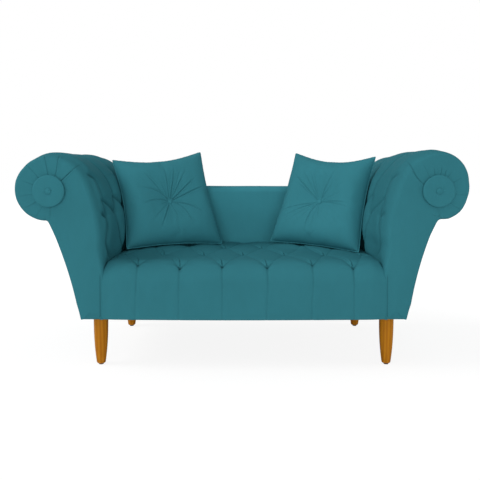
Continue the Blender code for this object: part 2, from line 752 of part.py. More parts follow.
def pleat_cutter(side_name, side):
    """Bars of square section, one edge into the facing, that fan out from the medallion."""
    bm = bmesh.new()
    start = 0.8 * MEDALLION_RADIUS
    reach = 1.6 * SCROLL_RADIUS
    width = PLEAT_HALF_WIDTH * math.sqrt(2)
    for angle in spread(PLEAT_FIRST, PLEAT_LAST, PLEATS - 1):
        turn = math.pi - angle if side > 0 else angle
        place = Matrix.Rotation(-turn, 4, "Y")
        place @= Matrix.Translation(((start + reach) / 2, 0.0, 0.0))
        place @= Matrix.Rotation(math.pi / 4, 4, "X")
        place @= Matrix.Diagonal((reach - start, width, width, 1.0))
        bmesh.ops.create_cube(bm, size=1.0, matrix=place)
    mesh = bpy.data.meshes.new("pleats")
    bm.to_mesh(mesh)
    bm.free()
    obj = add(f"{side_name}_pleats", mesh, None, cutters)
    obj.location = (side * SCROLL_X, y_at(0.0), MEDALLION_Z)
    return obj


arm_pads = {name: make_arm(name, side) for name, side in (("left", -1), ("right", 1))}


# Back: two posts and a top rail on the rear rail, a pad over them, and a skin behind
def make_back():
    envelope = arm_outline(-GAP, BASE_Z - 2 * GAP)
    beyond = (-BODY_DEPTH, 2 * BODY_DEPTH)
    trims = [
        plate(f"{name}_arm_envelope", envelope, beyond, None, side, 0.0, cutters)
        for name, side in (("left", -1), ("right", 1))
    ]
    edge = ARM_INNER_X - GAP
    pad_bottom = BACK_HEIGHT - BACK_TOP_PAD
    frame_f = (REAR_RAIL_FRONT, BODY_DEPTH - REAR_SKIN - GAP)
    post_top = pad_bottom - GAP - TOP_RAIL_HEIGHT - GAP
    for name, side in (("left", -1), ("right", 1)):
        x = sorted((side * (edge - POST_WIDTH), side * edge))
        box(f"back_{name}_post", x, frame_f, (DECK_Z, post_top), PINE)
    top_z = (post_top + GAP, post_top + GAP + TOP_RAIL_HEIGHT)
    box("back_top_rail", (-edge, edge), frame_f, top_z, PINE)

    r = BACK_EDGE_RADIUS
    front = SEAT_DEPTH
    rear = BODY_DEPTH
    top_edge = BACK_HEIGHT - r
    inner = REAR_RAIL_FRONT - GAP
    section = [Vector((front, DECK_Z))]
    section += [on_circle(Vector((front + r, top_edge)), r, a) for a in spread(math.pi, math.pi / 2, 4)]
    section += [on_circle(Vector((rear - r, top_edge)), r, a) for a in spread(math.pi / 2, 0.0, 4)]
    section += [Vector(p) for p in ((rear, pad_bottom), (inner, pad_bottom), (inner, DECK_Z))]
    wide = arm_inner_x(BACK_HEIGHT) + ARM_PAD / 2
    back_pad = sweep_across("back_pad", section, wide, TEAL)
    skin_z = (BASE_Z, pad_bottom - GAP)
    skin = box("back_skin", (-wide, wide), (BODY_DEPTH - REAR_SKIN, BODY_DEPTH), skin_z, TEAL)
    for piece in (back_pad, skin):
        for trim in trims:
            cut(piece, trim)
    return back_pad


def sweep_across(name, section, half_width, finish):
    """A solid with the section (f, z) carried from -half_width to half_width."""
    bm = bmesh.new()
    face = bm.faces.new([bm.verts.new((-half_width, y_at(p.x), p.y)) for p in section])
    pulled = bmesh.ops.extrude_face_region(bm, geom=[face], use_keep_orig=True)
    moved = [v for v in pulled["geom"] if isinstance(v, bmesh.types.BMVert)]
    bmesh.ops.translate(bm, verts=moved, vec=(2 * half_width, 0.0, 0.0))
    face_out(bm)
    mesh = bpy.data.meshes.new(name)
    bm.to_mesh(mesh)
    bm.free()
    obj = add(name, mesh, finish)
    shade(obj)
    return obj


back_pad = make_back()


# Pillows: crowned, with sides drawn in between the corners and one button tied through the middle
def pillow_rise(u, v):
    """Half thickness of a pillow at u and v, which run from -1 to 1 over it."""
    dome = max(0.0, (1 - u**4) * (1 - v**4)) ** 0.6
    from_middle = math.hypot(u, v) * PILLOW_SIDE / 2
    flat_middle = max(0.0, from_middle - PILLOW_BUTTON_RADIUS)
    pull = PILLOW_TUFT * math.exp(-((flat_middle / PILLOW_TUFT_RADIUS) ** 1.3))
    return (PILLOW_HALF_THICKNESS - pull) * dome


def pillow_mesh(name):
    bm = bmesh.new()
    for face in (1, -1):
        steps = PILLOW_STEPS
        made = bmesh.ops.create_grid(bm, x_segments=steps, y_segments=steps, size=1.0)
        for vert in made["verts"]:
            u, v, _ = vert.co
            x = u * (1 - PILLOW_DRAW_IN * (1 - v * v)) * PILLOW_SIDE / 2
            z = v * (1 - PILLOW_DRAW_IN * (1 - u * u)) * PILLOW_SIDE / 2
            vert.co = (x, -face * pillow_rise(u, v), z)
    bmesh.ops.remove_doubles(bm, verts=bm.verts, dist=1e-5)
    face_out(bm)
    bmesh.ops.triangulate(bm, faces=bm.faces)
    mesh = bpy.data.meshes.new(name)
    bm.to_mesh(mesh)
    bm.free()
    return mesh


def tree_of(obj):
    """Search tree of an object's finished shape in world space."""
    bpy.context.view_layer.update()
    shown = obj.evaluated_get(bpy.context.evaluated_depsgraph_get())
    mesh = shown.to_mesh()
    points = [shown.matrix_world @ v.co for v in mesh.vertices]
    faces = [tuple(p.vertices) for p in mesh.polygons]
    shown.to_mesh_clear()
    return BVHTree.FromPolygons(points, faces)


def slide_to_contact(obj, obstacles, way, clearance):
    """Moves obj along the unit vector way until it would touch an obstacle, then back by the clearance."""
    trees = [tree_of(o) for o in obstacles]
    step = SLIDE_STEP
    start = obj.location.copy()
    while step > SLIDE_FINEST:
        if (obj.location - start).length > SEAT_WIDTH:
            raise ValueError(f"{obj.name} meets nothing on its way")
        obj.location += way * step
        if any(tree_of(obj).overlap(tree) for tree in trees):
            obj.location -= way * step
            step /= 2
    obj.location -= way * clearance
    bpy.context.view_layer.update()


def make_pillow(side_name, side, turn):
    """Lowers a pillow onto the seat, then lifts it, slides it back and sets it down until it rests.

    The first time it is also slid towards the arm.
    """
    corner = [arm_pads[side_name], back_pad]
    pillow = add(f"{side_name}_pillow", pillow_mesh(f"{side_name}_pillow"), TEAL)
    shade(pillow, math.radians(80.0))
    upright = Matrix.Rotation(-side * turn, 3, "Z") @ Matrix.Rotation(-PILLOW_LEAN, 3, "X")
    pillow.rotation_euler = upright.to_euler()
    pillow.location = (side * PILLOW_SIDE / 2, y_at(SEAT_DEPTH / 2), SEAT_HEIGHT + PILLOW_SIDE)
    down = Vector((0.0, 0.0, -1.0))
    back = Vector((0.0, 1.0, 0.0))
    slide_to_contact(pillow, [seat_pad], down, GAP)
    for k, share in enumerate(LIFT_SHARES):
        lift = share * PILLOW_LIFT
        pillow.location -= down * lift
        slide_to_contact(pillow, corner, back, GAP + lift * math.tan(PILLOW_LEAN))
        if k == 0:
            slide_to_contact(pillow, corner[:1], Vector((side, 0.0, 0.0)), PILLOW_FROM_ARM)
        slide_to_contact(pillow, [seat_pad] + corner, down, GAP)
    for face_name, face in (("front", 1), ("rear", -1)):
        spin = Matrix.Rotation(face * math.pi / 2, 4, "X")
        outward = Vector((0.0, -face * PILLOW_HALF_THICKNESS, 0.0))
        place = pillow.matrix_world @ Matrix.Translation(outward) @ spin
        profile = [
            (0.0, PILLOW_BUTTON_THICKNESS),
            (0.60 * PILLOW_BUTTON_RADIUS, 0.88 * PILLOW_BUTTON_THICKNESS),
            (0.92 * PILLOW_BUTTON_RADIUS, 0.50 * PILLOW_BUTTON_THICKNESS),
            (0.80 * PILLOW_BUTTON_RADIUS, 0.0),
            (0.0, 0.0),
        ]
        button = turned(f"{side_name}_pillow_{face_name}_button", profile, 16, TEAL, place)
        slide_to_contact(button, [pillow], upright @ -outward.normalized(), GAP)


make_pillow("left", -1, LEFT_PILLOW_TURN)
make_pillow("right", 1, RIGHT_PILLOW_TURN)
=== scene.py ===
# Two-armed recamier in teal suede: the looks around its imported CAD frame
import json
import math

import bmesh
import bpy
import numpy as np
from mathutils import Matrix, Vector


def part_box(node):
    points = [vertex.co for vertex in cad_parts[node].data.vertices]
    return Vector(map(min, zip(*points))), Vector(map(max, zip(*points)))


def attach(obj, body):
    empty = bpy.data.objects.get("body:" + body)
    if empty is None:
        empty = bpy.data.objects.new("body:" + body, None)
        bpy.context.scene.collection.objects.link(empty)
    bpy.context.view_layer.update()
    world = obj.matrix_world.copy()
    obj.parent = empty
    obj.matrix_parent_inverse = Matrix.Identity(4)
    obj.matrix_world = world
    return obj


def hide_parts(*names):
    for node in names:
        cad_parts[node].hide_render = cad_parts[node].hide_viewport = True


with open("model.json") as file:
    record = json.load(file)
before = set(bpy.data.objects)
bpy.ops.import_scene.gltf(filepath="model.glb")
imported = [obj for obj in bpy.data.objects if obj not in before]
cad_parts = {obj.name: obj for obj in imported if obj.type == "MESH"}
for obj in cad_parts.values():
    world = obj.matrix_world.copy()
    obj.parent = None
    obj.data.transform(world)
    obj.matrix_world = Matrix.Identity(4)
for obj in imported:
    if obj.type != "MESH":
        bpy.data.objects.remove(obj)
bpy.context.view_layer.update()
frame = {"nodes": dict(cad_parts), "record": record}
print("frame loaded:", len(frame["nodes"]), "nodes")

sofa = {
    "frontY": -0.3342,  # front plane of the arms; a depth f runs back from it
    "half": 0.4972,  # half width between the arms
    "base": 0.1826,  # underside of the upholstery
    "deck": 0.2652,  # top of the webbing
    "seatTop": 0.380,
    "seatBack": 0.5997,
    "depth": 0.690,
    "rearPanel": 0.686,
    "backTop": 0.636,
    "gap": 0.0004,  # left free beside the arms
}
sides = (("left", -1), ("right", 1))


# helpers for numbers
def smooth(x):  # 0 below 0, 1 above 1, an S between
    x = np.clip(x, 0, 1)
    return x * x * (3 - 2 * x)


def bell(x, wide):  # 1 at x = 0, and 1 / e at a distance wide from it
    return np.exp(-((x / wide) ** 2))


def stacked(*parts):  # coordinates side by side as points
    return np.stack(np.broadcast_arrays(*parts), -1)


def unit(v):
    return v / np.linalg.norm(v, axis=-1, keepdims=True)


def ripple(x, y, seed):  # a sum of four slow sine waves in turned directions, about -1 to 1
    total = 0
    for k in range(4):
        turn = seed * 1.7 + k * 2.399
        pace = 1 + 0.55 * k
        total = total + np.sin(pace * (x * np.cos(turn) + y * np.sin(turn)) + seed * 3.1 + k * 1.3) / pace
    return total / 2.2


def ridgeBy(x, f, places, ahead, behind):
    # a long swell whose crest goes through places (x, f, height), wide ahead of it and narrow behind
    at, crest, height = np.array(places, float).T
    off = np.interp(x, at, crest) - f
    return np.interp(x, at, height, left=0, right=0) * np.where(off > 0, bell(off, ahead), bell(off, behind))


# helpers for meshes
def gridFaces(rows, cols, closeRows=False, closeCols=False):
    # quads between neighbours of a rows x cols grid, wrapped round where it is closed
    i = np.arange(rows if closeRows else rows - 1)[:, None]
    j = np.arange(cols if closeCols else cols - 1)[None, :]
    down, right = (i + 1) % rows, (j + 1) % cols
    return stacked(i * cols + j, i * cols + right, down * cols + right, down * cols + j).reshape(-1, 4)


def rimOf(rows, cols):  # the points of a grid's rim, once round
    index = np.arange(rows * cols).reshape(rows, cols)
    return np.concatenate([index[0], index[1:, -1], index[-1, -2::-1], index[-2:0:-1, 0]])


def bothSides(middle, side, sign=1):  # the columns of one side, and the same mirrored before the middle ones
    return np.concatenate([sign * side[:, ::-1], middle, side], 1)


def placed(x, f, z):  # points of the shared frame from x, depth f and z
    return stacked(x, sofa["frontY"] + f, z)


def newObject(name, data):
    obj = bpy.data.objects.new(name, data)
    bpy.context.scene.collection.objects.link(obj)
    return obj


def makePiece(name, points, faces, finish, rideOn="sofa", fold=None, sharp=60, merge=1e-6):
    # points (n, 3) and faces become one closed mesh: doubles merged, faces turned outwards, smooth shaded
    mesh = bpy.data.meshes.new(name)
    faces = faces if isinstance(faces, list) else faces.tolist()
    mesh.from_pydata(np.asarray(points, float).reshape(-1, 3).tolist(), [], faces)
    # fold: painted shade per point, which the nap reads to darken its colour
    if fold is not None:
        layer = mesh.attributes.new("fold", "FLOAT", "POINT")
        layer.data.foreach_set("value", np.asarray(fold, np.float32).ravel())
    bm = bmesh.new()
    bm.from_mesh(mesh)
    bmesh.ops.remove_doubles(bm, verts=bm.verts, dist=merge)
    bmesh.ops.dissolve_degenerate(bm, edges=bm.edges, dist=merge)
    loose = [v for v in bm.verts if not v.link_faces]
    bmesh.ops.delete(bm, geom=loose, context="VERTS")
    bmesh.ops.recalc_face_normals(bm, faces=bm.faces)
    if bm.calc_volume(signed=True) < 0:
        bmesh.ops.reverse_faces(bm, faces=bm.faces)
    bm.to_mesh(mesh)
    bm.free()
    mesh.shade_smooth()
    mesh.set_sharp_from_angle(angle=math.radians(sharp))
    mesh.materials.append(finish)
    obj = newObject(name, mesh)
    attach(obj, rideOn)
    return obj


def turnedPiece(name, profile, count, place, finish, rideOn="sofa", bump=None):
    # a profile of (radius, height) pairs carried round the local Z axis, then put in place by a matrix
    radius, height = np.array(profile, float).T
    angle = np.linspace(0, 2 * np.pi, count, endpoint=False)[:, None]
    lift = 0 if bump is None else bump(angle, radius)
    grid = stacked(radius * np.cos(angle), radius * np.sin(angle), height + lift)
    points = grid.reshape(-1, 3) @ np.array(place.to_3x3()).T + np.array(place.translation)
    return makePiece(name, points, gridFaces(count, len(profile), closeRows=True), finish, rideOn, sharp=50)


def slabPiece(name, outside, inside, finish):
    # two grids one behind the other, with a wall all round their rims
    rows, cols = outside.shape[:2]
    count = rows * cols
    shell = gridFaces(rows, cols)
    ring = rimOf(rows, cols)
    after = np.roll(ring, -1)
    walls = stacked(ring, after, after + count, ring + count)
    points = np.concatenate([outside.reshape(-1, 3), inside.reshape(-1, 3)])
    return makePiece(name, points, np.concatenate([shell, shell[:, ::-1] + count, walls]), finish)


def closedBehind(grid, ends):
    # a grid becomes a solid: its two open sides are closed flat by way of the points of ends, which lead
    # from the last row back to the first, and flat faces join those points across
    rows, cols = grid.shape[:2]
    n, k = rows * cols, len(ends[0])
    left, right = list(range(n, n + k)), list(range(n + k, n + 2 * k))
    faces = gridFaces(rows, cols).tolist()
    faces.append(list(range(0, n, cols)) + left)
    faces.append(list(range(cols - 1, n, cols)) + right)
    faces += [[a, b, d, c] for a, b, c, d in zip(left, left[1:], right, right[1:])]
    faces.append(list(range(cols)) + [right[-1], left[-1]])
    faces.append(list(range(n - cols, n)) + [right[0], left[0]])
    return np.concatenate([grid.reshape(-1, 3), *ends]), faces


def facingFront(x, f, z):  # local Z points to the front
    return Matrix.Translation((x, sofa["frontY"] + f, z)) @ Matrix.Rotation(math.pi / 2, 4, "X")


# helpers for materials
def fill(tree, socket, value):  # a source is linked, a plain value is set
    if isinstance(value, bpy.types.NodeSocket):
        tree.links.new(value, socket)
    else:
        socket.default_value = value


def feed(tree, node, **values):
    for label, value in values.items():
        fill(tree, node.inputs[label], value)


def addNode(tree, kind, **settings):  # each setting is an input by its name, or else the node's own
    node = tree.nodes.new(kind)
    for key, value in settings.items():
        if key in node.inputs.keys():
            fill(tree, node.inputs[key], value)
        else:
            setattr(node, key, value)
    return node


def newGroup(name, takes, gives):  # takes: the inputs besides Vector, where four numbers are a colour
    group = bpy.data.node_groups.new(name, "ShaderNodeTree")
    group.interface.new_socket("Vector", in_out="INPUT", socket_type="NodeSocketVector")
    for label, value in takes.items():
        kind = "NodeSocketColor" if isinstance(value, tuple) else "NodeSocketFloat"
        socket = group.interface.new_socket(label, in_out="INPUT", socket_type=kind)
        socket.default_value = value
    for label in gives:
        kind = "NodeSocketColor" if label == "Color" else "NodeSocketFloat"
        group.interface.new_socket(label, in_out="OUTPUT", socket_type=kind)
    return group, group.nodes.new("NodeGroupInput").outputs, group.nodes.new("NodeGroupOutput")


def useGroup(tree, group, vector, **values):
    return addNode(tree, "ShaderNodeGroup", node_tree=group, Vector=vector, **values)


def stretched(tree, vector, scale):
    return addNode(tree, "ShaderNodeMapping", Vector=vector, Scale=scale).outputs["Vector"]


def noiseOn(tree, vector, scale, detail):
    return addNode(tree, "ShaderNodeTexNoise", Vector=vector, Scale=scale, Detail=detail).outputs["Fac"]


def wavesOn(tree, vector, scale, distortion, detail, axis="X"):
    waves = addNode(tree, "ShaderNodeTexWave", bands_direction=axis, Vector=vector, Scale=scale,
                    Distortion=distortion, Detail=detail)
    return waves.outputs["Fac"]


def calc(tree, operation, a, b, clamp=False):
    node = addNode(tree, "ShaderNodeMath", operation=operation, use_clamp=clamp)
    fill(tree, node.inputs[0], a)
    fill(tree, node.inputs[1], b)
    return node.outputs[0]


def swing(tree, value, amount):  # how far a value from 0 to 1 is off its middle, times an amount
    return calc(tree, "MULTIPLY", calc(tree, "SUBTRACT", value, 0.5), amount)


def weighed(tree, first, *others):  # the sum of (value, weight) pairs
    total = calc(tree, "MULTIPLY", *first)
    for pair in others:
        total = calc(tree, "ADD", total, calc(tree, "MULTIPLY", *pair))
    return total


def ranged(tree, value, low, high, fromLow=0.0, fromHigh=1.0):
    limits = {"From Min": fromLow, "From Max": fromHigh, "To Min": low, "To Max": high}
    return addNode(tree, "ShaderNodeMapRange", Value=value, **limits).outputs["Result"]


def mixed(tree, share, a, b):
    node = addNode(tree, "ShaderNodeMix", data_type="RGBA", Factor=share)
    for socket, colour in ((node.inputs[6], a), (node.inputs[7], b)):
        fill(tree, socket, (*colour, 1) if isinstance(colour, tuple) else colour)
    return node.outputs[2]


def shaded(tree, tint, light):
    return addNode(tree, "ShaderNodeHueSaturation", Color=tint, Value=light).outputs["Color"]


def mixShaders(tree, share, first, second, target):
    blend = addNode(tree, "ShaderNodeMixShader", Fac=share)
    fill(tree, blend.inputs[1], first)
    fill(tree, blend.inputs[2], second)
    fill(tree, target, blend.outputs["Shader"])


def buildNap():
    # brushed nap: slow rub marks, short brush strokes and a fine pile, with painted shade darker down in the
    # folds
    takes = {"Tint": (0.03, 0.17, 0.2, 1), "Fold": 0.0, "Rub": 0.10}
    group, given, end = newGroup("suedeNap", takes, ("Color", "Roughness", "Height"))
    vector = given["Vector"]
    rub = noiseOn(group, vector, 7.0, 3.0)
    stroke = noiseOn(group, stretched(group, vector, (1.0, 1.0, 0.35)), 42.0, 4.0)
    pile = noiseOn(group, vector, 620.0, 2.0)
    light = calc(group, "ADD", swing(group, rub, given["Rub"]), swing(group, stroke, 0.10))
    light = calc(group, "ADD", light, swing(group, pile, 0.10))
    light = calc(group, "ADD", light, 1.0)
    # painted shade: the fold attribute darkens the colour in folds, at tufts and along pleats
    light = calc(group, "SUBTRACT", light, calc(group, "MULTIPLY", given["Fold"], 0.60))
    feed(group, end, Color=shaded(group, given["Tint"], light),
         Roughness=ranged(group, stroke, 0.78, 0.94, 0.3, 0.7),
         Height=weighed(group, (stroke, 0.5), (pile, 0.5)))
    return group


def buildGrain():
    # long wood fibres with wide growth bands and rings, along Z or the axis that the mapping turns there
    takes = {"Light": (0.5, 0.3, 0.1, 1), "Dark": (0.2, 0.1, 0.03, 1), "Bands": 28.0}
    group, given, end = newGroup("woodGrain", takes, ("Color", "Roughness", "Height"))
    vector = given["Vector"]
    fibre = noiseOn(group, stretched(group, vector, (1.0, 1.0, 0.035)), 260.0, 4.0)
    band = noiseOn(group, stretched(group, vector, (30.0, 30.0, 2.4)), 1.0, 2.0)
    rings = wavesOn(group, stretched(group, vector, (1.0, 1.0, 0.10)), given["Bands"], 5.0, 2.0)
    share = weighed(group, (fibre, 0.45), (band, 0.30), (rings, 0.25))
    share = ranged(group, share, 0.0, 1.0, 0.30, 0.72)
    feed(group, end, Color=mixed(group, share, given["Dark"], given["Light"]),
         Roughness=ranged(group, fibre, 0.26, 0.46, 0.3, 0.7),
         Height=weighed(group, (fibre, 0.7), (band, 0.3)))
    return group


def buildWeave():
    # two sets of threads that cross, as a height, with the colour darker where the threads lie low
    takes = {"Tint": (0.1, 0.1, 0.1, 1), "Threads": 300.0}
    group, given, end = newGroup("threadWeave", takes, ("Color", "Roughness", "Height"))
    sets = [wavesOn(group, given["Vector"], given["Threads"], 0.6, 1.0, axis) for axis in ("X", "Y")]
    height = calc(group, "MULTIPLY", *sets)
    feed(group, end, Color=shaded(group, given["Tint"], ranged(group, height, 0.75, 1.15)),
         Roughness=ranged(group, height, 0.95, 0.8), Height=height)
    return group


def buildDust():
    # settled dust and small scuffs as a mask
    group, given, end = newGroup("settledDust", {"Amount": 0.3}, ("Mask",))
    patch = ranged(group, noiseOn(group, given["Vector"], 26.0, 5.0), 0.0, 1.0, 0.45, 0.75)
    speck = ranged(group, noiseOn(group, given["Vector"], 340.0, 2.0), 0.0, 1.0, 0.5, 0.8)
    both = calc(group, "ADD", patch, speck)
    feed(group, end, Mask=calc(group, "MULTIPLY", both, given["Amount"], clamp=True))
    return group


napGroup, grainGroup, weaveGroup, dustGroup = buildNap(), buildGrain(), buildWeave(), buildDust()


def startMaterial(name, **shaderValues):
    made = bpy.data.materials.new(name)
    made.use_nodes = True
    tree = made.node_tree
    shader = tree.nodes["Principled BSDF"]
    feed(tree, shader, **shaderValues)
    return made, tree, shader, addNode(tree, "ShaderNodeTexCoord").outputs["Object"]


def dusty(tree, vector, amount, colour, powder):
    return mixed(tree, useGroup(tree, dustGroup, vector, Amount=amount).outputs["Mask"], colour, powder)


def finishWith(tree, shader, colour, roughness, height, strength, distance):
    bump = addNode(tree, "ShaderNodeBump", Height=height, Strength=strength, Distance=distance)
    normal = bump.outputs["Normal"]
    feed(tree, shader, **{"Base Color": colour, "Roughness": roughness, "Normal": normal})


suede = {
    # pillow and back are lightened copies of the teal: painted light that makes up for the shade they get
    # set back between the arms
    "tints": {"teal": (0.0315, 0.172, 0.207, 1), "pillow": (0.0370, 0.200, 0.241, 1),
              "back": (0.0430, 0.232, 0.280, 1)},
    "rub": 0.12, "shine": 0.03, "bump": 0.35, "pileHeight": 0.0006,
}
wood = {"shine": 0.1, "coatRoughness": 0.22, "bump": 0.25, "grainHeight": 0.0006, "dust": (0.45, 0.40, 0.33),
        "footShare": 0.065, "farShare": 0.010, "farHeight": 0.75}  # the foot colour's share, at the floor and above
woven = {"sheen": 0.1, "shine": 0.25, "bump": 0.5, "dustAmount": 0.12, "dust": (0.35, 0.34, 0.32)}


def makeSuede(part):
    made, tree, shader, vector = startMaterial(f"{part}Suede", **{"Specular IOR Level": suede["shine"]})
    # the fold attribute: painted shade in folds, at tufts and along pleats, darkening the nap
    folds = addNode(tree, "ShaderNodeAttribute", attribute_name="fold").outputs["Fac"]
    nap = useGroup(tree, napGroup, vector, Tint=suede["tints"][part], Rub=suede["rub"], Fold=folds).outputs
    finishWith(tree, shader, nap["Color"], nap["Roughness"], nap["Height"],
               suede["bump"], suede["pileHeight"])
    return made


def makeWood(name, light, dark, bands, coat=0.0, turn=(0, 0, 0), dust=0.0, foot=None):
    # foot is a browner, darker colour, mixed in a little over a turned leg and most at the floor
    made, tree, shader, vector = startMaterial(name, **{"Specular IOR Level": wood["shine"]})
    if coat:
        feed(tree, shader, **{"Coat Weight": coat, "Coat Roughness": wood["coatRoughness"]})
    turned = addNode(tree, "ShaderNodeMapping", Vector=vector, Rotation=turn).outputs["Vector"]
    grain = useGroup(tree, grainGroup, turned, Light=(*light, 1), Dark=(*dark, 1), Bands=bands).outputs
    colour = grain["Color"]
    if dust:
        colour = dusty(tree, vector, dust, colour, wood["dust"])
    if foot:
        height = addNode(tree, "ShaderNodeSeparateXYZ", Vector=vector).outputs["Z"]
        towardsFloor = ranged(tree, height, wood["farShare"], wood["footShare"], wood["farHeight"], 0.0)
        colour = mixed(tree, towardsFloor, colour, foot)
    finishWith(tree, shader, colour, grain["Roughness"], grain["Height"], wood["bump"], wood["grainHeight"])
    return made


def makeWoven(name, tint, threads, height):
    shine = {"Sheen Weight": woven["sheen"], "Specular IOR Level": woven["shine"]}
    made, tree, shader, vector = startMaterial(name, **shine)
    weave = useGroup(tree, weaveGroup, vector, Tint=(*tint, 1), Threads=threads).outputs
    colour = dusty(tree, vector, woven["dustAmount"], weave["Color"], woven["dust"])
    finishWith(tree, shader, colour, weave["Roughness"], weave["Height"], woven["bump"], height)
    return made


def makeHard(name, tint, roughness, metallic, dust):
    # zinc or nylon: fine streaks in the roughness and a little dust
    made, tree, shader, vector = startMaterial(name, Metallic=metallic)
    streak = noiseOn(tree, stretched(tree, vector, (1.0, 1.0, 0.2)), 500.0, 3.0)
    paler = tuple(min(1.0, c * 1.5 + 0.05) for c in tint)
    worn = ranged(tree, streak, roughness - 0.08, roughness + 0.14, 0.3, 0.7)
    finishWith(tree, shader, dusty(tree, vector, dust, tint, paler), worn, streak, 0.15, 0.0003)
    return made


# the pillow and back suede are the teal lightened, as painted light
tealSuede, pillowLightenedSuede, backLightenedSuede = (makeSuede(part) for part in suede["tints"])
honeyWood = makeWood("honeyWood", (0.52, 0.205, 0.008), (0.36, 0.122, 0.002), 26.0, coat=0.06,
                     foot=(0.34, 0.130, 0.022))
rawPine = makeWood("rawPine", (0.66, 0.47, 0.27), (0.46, 0.28, 0.13), 22.0, dust=0.25,
                   turn=(0, math.pi / 2, 0))
bentBoard = makeWood("bentBoard", (0.34, 0.21, 0.11), (0.20, 0.12, 0.06), 60.0, dust=0.3)
zincBolt = makeHard("zincBolt", (0.55, 0.55, 0.56), 0.34, 1.0, 0.3)
nylonGlide = makeHard("nylonGlide", (0.04, 0.04, 0.04), 0.5, 0.0, 0.4)
strapWeave = makeWoven("strapWeave", (0.10, 0.10, 0.11), 260.0, 0.0008)
liningCloth = makeWoven("liningCloth", (0.022, 0.022, 0.023), 420.0, 0.0004)
print("materials made")


# section of the right arm
arm = {
    "innerX": 0.4975, "innerCentre": (1.1275, 0.4257), "innerRadius": 0.630, "innerTurn": 156.0,
    "shoulderCentre": (0.68443, 0.623), "shoulderRadius": 0.145,
    "scrollCentre": (0.68443, 0.6525), "scrollRadius": 0.1155, "scrollEnd": -82.4,
    "neckCentre": (0.7021, 0.5202), "neckRadius": 0.018, "neckFrom": 97.6, "neckTo": 154.2,
    "waistCentre": (1.9010, -0.0602), "waistRadius": 1.350,
    "padThick": 0.030, "facingBack": 0.0178, "rearEnd": 0.6857, "rearRound": 0.006,
}


def arcPoints(name, start, end, count):
    angle = np.radians(np.linspace(start, end, count))
    (x, z), radius = arm[name + "Centre"], arm[name + "Radius"]
    return stacked(x + radius * np.cos(angle), z + radius * np.sin(angle))


def armSection():
    # the outline as arcs: up the inside, over the shoulder, round the scroll, down the waist, back under
    footTurn = 180 - math.degrees(math.asin((sofa["base"] - arm["waistCentre"][1]) / arm["waistRadius"]))
    runs = [
        stacked(arm["innerX"], np.linspace(sofa["base"], arm["innerCentre"][1], 300)),
        arcPoints("inner", 180, arm["innerTurn"], 400),
        arcPoints("shoulder", arm["innerTurn"], 90, 300),
        arcPoints("scroll", 90, arm["scrollEnd"], 600),
        arcPoints("neck", arm["neckFrom"], arm["neckTo"], 60),
        arcPoints("waist", arm["neckTo"], footTurn, 500),
    ]

    def steps(path):
        return np.linalg.norm(np.diff(path, axis=0), axis=1)

    ends = np.cumsum([steps(run).sum() for run in runs])
    marks = dict(zip(("inner", "shoulder", "scroll", "neck", "waist", "foot"), ends))
    runs.append(stacked(np.linspace(runs[-1][-1, 0], arm["innerX"], 100), sofa["base"]))
    path = np.concatenate(runs)
    path = path[np.concatenate([[True], steps(path) > 1e-5])]
    run = np.concatenate([[0], np.cumsum(steps(path))])
    slope = unit(np.gradient(path, run, axis=0))
    return run, path, stacked(-slope[:, 1], slope[:, 0]), marks


sectionRun, sectionPath, sectionNormal, sectionMark = armSection()


def sectionAt(s):  # points and outward normals of the section at lengths s along it
    def along(curve):
        return stacked(*(np.interp(s, sectionRun, values) for values in curve.T))

    return along(sectionPath), unit(along(sectionNormal))


def moved(p, way, by):  # x and z of points p, moved by a share of a way
    return p[:, :1] + way[:, :1] * by, p[:, 1:] + way[:, 1:] * by


def innerRise(z):
    return np.maximum(0, z - arm["innerCentre"][1])


def innerX(z):  # padded side of the arm at height z, below the shoulder
    return arm["innerCentre"][0] - np.sqrt(arm["innerRadius"] ** 2 - innerRise(z) ** 2)


def innerRun(z):  # length along the section to height z on the inside
    straight = np.minimum(z, arm["innerCentre"][1]) - sofa["base"]
    return straight + arm["innerRadius"] * np.arcsin(innerRise(z) / arm["innerRadius"])


def waistX(z):  # outside of the arm at height z, below the neck
    return arm["waistCentre"][0] - np.sqrt(arm["waistRadius"] ** 2 - (z - arm["waistCentre"][1]) ** 2)


def waistRun(z):  # length along the section to height z on the outside
    turn = np.pi - np.arcsin((z - arm["waistCentre"][1]) / arm["waistRadius"])
    return sectionMark["waist"] + arm["waistRadius"] * (turn - math.radians(arm["neckTo"]))


